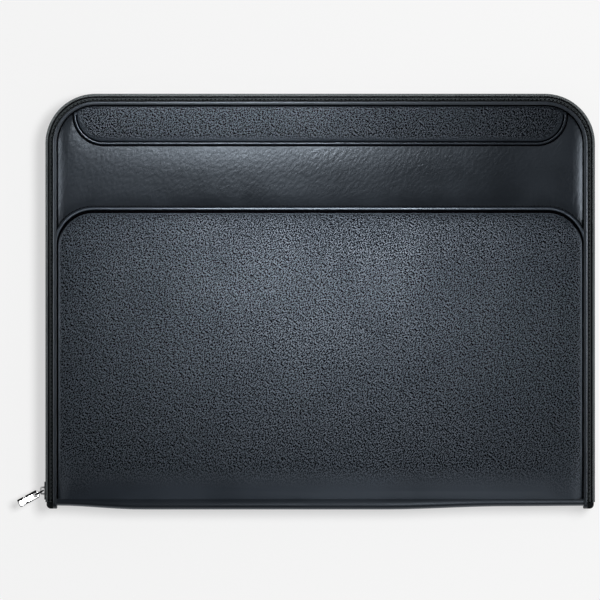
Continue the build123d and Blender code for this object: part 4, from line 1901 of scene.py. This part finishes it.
@dataclass
class Fittings:
    """Pieces shown as they were constructed, each with its own finish."""

    shop: Shop
    finishes: Tuple[Tuple[Finish, Slot, Tuple[str, ...]], ...] = (
        (BOARD, Slot.BOARD, ("back_board", "front_board")),
        (TAPE, Slot.TAPE, ("back_zip_end_tabs", "front_zip_end_tabs")),
        (TEETH, Slot.TEETH, (
            "back_teeth_slider_side", "back_teeth_far_sides", "front_teeth_slider_side",
            "front_teeth_far_sides", "back_zip_stops", "front_zip_stops",
        )),
        (DARK_METAL, Slot.METAL, ("slider_body", "pull_link")),
        (METAL, Slot.METAL, ("slider_crown",)),
        (WINDOW, Slot.WINDOW, ("id_window",)),
        (CARD, Slot.CARD, ("pad_backing",)),
        (PAPER, Slot.PAPER, ("pad_sheets",)),
        (PAPER_TAPE, Slot.PAPER_TAPE, ("pad_tape",)),
    )

    def build(self) -> None:
        """Dress every piece that keeps its constructed shape."""
        for finish, slot, names in self.finishes:
            for name in names:
                self.shop.dress(frame["nodes"][name], finish, slot)


@dataclass(frozen=True)
class Lamp:
    """A soft rectangular light: its place, its target and its size in metres, and its power in watts."""

    name: str
    place: Point3
    target: Point3
    size: Point2
    power: float
    spread: float = pi

    def build(self) -> bpy.types.Object:
        """Add the light.

        Returns:
            The light.
        """
        data = bpy.data.lights.new(self.name, "AREA")
        data.shape = "RECTANGLE"
        data.size, data.size_y = self.size
        data.energy = self.power
        data.spread = self.spread
        light = bpy.data.objects.new(self.name, data)
        light.location = self.place
        light.rotation_mode = "QUATERNION"
        light.rotation_quaternion = (Vector(self.target) - Vector(self.place)).to_track_quat("-Z", "Y")
        bpy.context.scene.collection.objects.link(light)
        return light


@dataclass
class Studio:
    """The floor, the lights and the camera that looks straight down."""

    FLOOR_NAME: ClassVar[str] = "studio_floor"
    MAIN_NAME: ClassVar[str] = "front_main_leather"
    PAPER_NAMES: ClassVar[Tuple[str, ...]] = ("pad_sheets", "pad_backing", "pad_tape")
    INSIDE_NAMES: ClassVar[Tuple[str, ...]] = (
        *PAPER_NAMES, "pad_panel_soft", "pad_sleeve_soft", "back_lining_soft", "front_lining_soft",
        "document_pocket_soft", "tablet_pocket_soft", "card_slot_1_soft", "card_slot_2_soft",
        "card_slot_3_soft", "id_window_frame_soft", "spine_lining_soft", "pen_loop_soft",
        "back_gutter_hem", "back_gutter_edge", "back_gutter_pleat",
        "front_gutter_hem", "front_gutter_edge", "front_gutter_pleat",
    )
    EDGE_NAMES: ClassVar[Tuple[str, ...]] = (
        "front_band_leather", "front_binding_leather", "front_zip_cloth", "back_zip_cloth",
    )

    aim: Point2 = (-12.4, 3.1)
    frame_w: float = 368.0
    camera_up: float = 8000.0
    camera_end: float = 40.0
    sensor: float = 36.0
    level: float = 28.6
    floor_w: float = 6000.0
    floor_z: float = -0.2
    floor_colour: Colour = (0.45, 0.45, 0.45)
    floor_roughness: float = 0.9
    floor_glow: float = 0.585
    white: Colour = (1.0, 1.0, 1.0)
    world: float = 0.13
    lamps: Tuple[Tuple[str, Lit, Tuple[str, ...], Tuple[Lamp, ...]], ...] = (
        ("lights_on_floor", Lit.ONLY, (FLOOR_NAME,), (
            Lamp("floor_light", (0.85, 0.4, 2.9), (0.0, 0.0, 0.0), (0.9, 0.9), 60.0),
        )),
        ("lights_on_main", Lit.ONLY, (MAIN_NAME,), (
            Lamp("main_sheen", (-0.006, 0.055, 0.31), (-0.006, 0.055, 0.0), (0.15, 0.08), 0.5, 1.6),
        )),
        ("lights_off_floor", Lit.ALL_BUT, (FLOOR_NAME,), (
            Lamp("left_strip", (-0.46, 0.06, 0.5), (-0.16, 0.02, 0.02), (0.12, 0.4), 0.02, 1.8),
            Lamp("right_strip", (0.46, 0.0, 0.5), (0.16, 0.0, 0.02), (0.12, 0.5), 0.05, 1.8),
            Lamp("far_strip", (-0.25, 0.8, 0.55), (-0.1, 0.0, 0.02), (0.7, 0.25), 0.55),
            Lamp("near_strip", (0.14, -0.42, 0.5), (0.09, -0.12, 0.02), (0.3, 0.12), 0.15, 1.5),
        )),
        ("lights_off_paper_and_main", Lit.ALL_BUT, (FLOOR_NAME, *PAPER_NAMES, MAIN_NAME), (
            Lamp("band_sheen", (-0.05, 0.215, 0.34), (-0.045, 0.09, 0.0), (0.10, 0.06), 0.41, 1.35),
        )),
        ("lights_inside", Lit.ONLY, INSIDE_NAMES, (
            Lamp("inner_light", (0.1, -0.15, 1.2), (0.0, -0.12, 0.0), (1.0, 1.0), 9.0),
        )),
        ("lights_on_panel", Lit.ONLY, (MAIN_NAME,), (
            Lamp("left_panel_light", (-0.6, 0.05, 0.46), (-0.16, 0.04, 0.02), (0.12, 0.3), 0.42, 1.6),
            Lamp("right_panel_light", (0.6, 0.0, 0.46), (0.16, 0.0, 0.02), (0.12, 0.4), 0.62, 1.8),
        )),
        ("lights_on_edges", Lit.ONLY, EDGE_NAMES, (
            Lamp("left_edge_light", (-0.62, 0.1, 0.36), (-0.16, 0.04, 0.02), (0.12, 0.4), 1.35, 1.8),
            Lamp("right_edge_light", (0.62, 0.06, 0.36), (0.16, 0.03, 0.02), (0.12, 0.4), 2.1, 1.8),
        )),
        ("lights_on_pull", Lit.ONLY, ("pull_tab_plate",), (
            Lamp("pull_light", (-0.2, -0.1, 0.45), (-0.18, -0.12, 0.014), (0.2, 0.2), 0.7, 1.4),
        )),
    )

    def _floor(self) -> None:
        """Lay the pale floor, which glows for the camera and in reflections but lights nothing else."""
        mesh = bmesh.new()
        bmesh.ops.create_grid(mesh, x_segments=1, y_segments=1, size=self.floor_w / 2 * MM)
        floor = mesh_object(self.FLOOR_NAME, mesh)
        material = bpy.data.materials.new("pale_floor")
        material.use_nodes = True
        graph = Graph(material.node_tree)
        path = graph.add("LightPath")
        seen = path.outputs["Is Camera Ray"]
        for ray in ("Is Glossy Ray", "Is Transmission Ray"):
            seen = graph.math("MAXIMUM", seen, path.outputs[ray])
        shader = graph.add("BsdfPrincipled", {
            "Base Color": solid(self.floor_colour),
            "Roughness": self.floor_roughness,
            "Specular IOR Level": 0.0,
            "Emission Color": solid(self.white),
            "Emission Strength": graph.math("MULTIPLY", seen, self.floor_glow),
        })
        graph.add("OutputMaterial", {"Surface": shader.outputs["BSDF"]})
        floor.data.materials.append(material)
        floor.location.z = self.floor_z * MM

    def _light(self) -> None:
        """Set the even light from all round, and every group of lamps with the pieces that it is for."""
        world = bpy.data.worlds.new("studio_world")
        world.use_nodes = True
        sky = world.node_tree.nodes["Background"]
        sky.inputs["Color"].default_value = solid(self.white)
        sky.inputs["Strength"].default_value = self.world
        bpy.context.scene.world = world
        for name, lit, pieces, lamps in self.lamps:
            group = bpy.data.collections.new(name)
            for number, piece in enumerate(pieces):
                group.objects.link(bpy.data.objects[piece])
                group.collection_objects[number].light_linking.link_state = lit.value
            for lamp in lamps:
                lamp.build().light_linking.receiver_collection = group

    def _camera(self) -> None:
        """Hang the camera far above, so that it sees the front almost without perspective."""
        data = bpy.data.cameras.new("front_camera")
        data.sensor_width = self.sensor
        data.lens = self.sensor * (self.camera_up - self.level) / self.frame_w
        data.clip_end = self.camera_end
        camera = bpy.data.objects.new("front_camera", data)
        camera.location = (self.aim[0] * MM, self.aim[1] * MM, self.camera_up * MM)
        bpy.context.scene.collection.objects.link(camera)
        bpy.context.scene.camera = camera

    def build(self) -> None:
        """Set the stage."""
        self._floor()
        self._light()
        self._camera()
        bpy.context.scene.view_settings.view_transform = "Standard"


def main() -> None:
    """Build every sub-assembly in order, then the studio."""
    logging.basicConfig(level=logging.INFO, format="%(name)s: %(message)s")
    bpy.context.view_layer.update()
    shop = Shop()
    case = Case()
    spine = SpineCover(case, shop)
    for assembly in (
        BackCover(case, shop),
        spine,
        FrontCover(case, shop),
        Gutters(case, shop, spine),
        InnerSoft(shop),
        InnerSewing(shop),
        ZipTapes(case, shop),
        PullTab(shop),
        Fittings(shop),
        Studio(),
    ):
        LOG.info("building %s", type(assembly).__name__)
        assembly.build()
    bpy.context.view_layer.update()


if __name__ == "__main__":
    main()
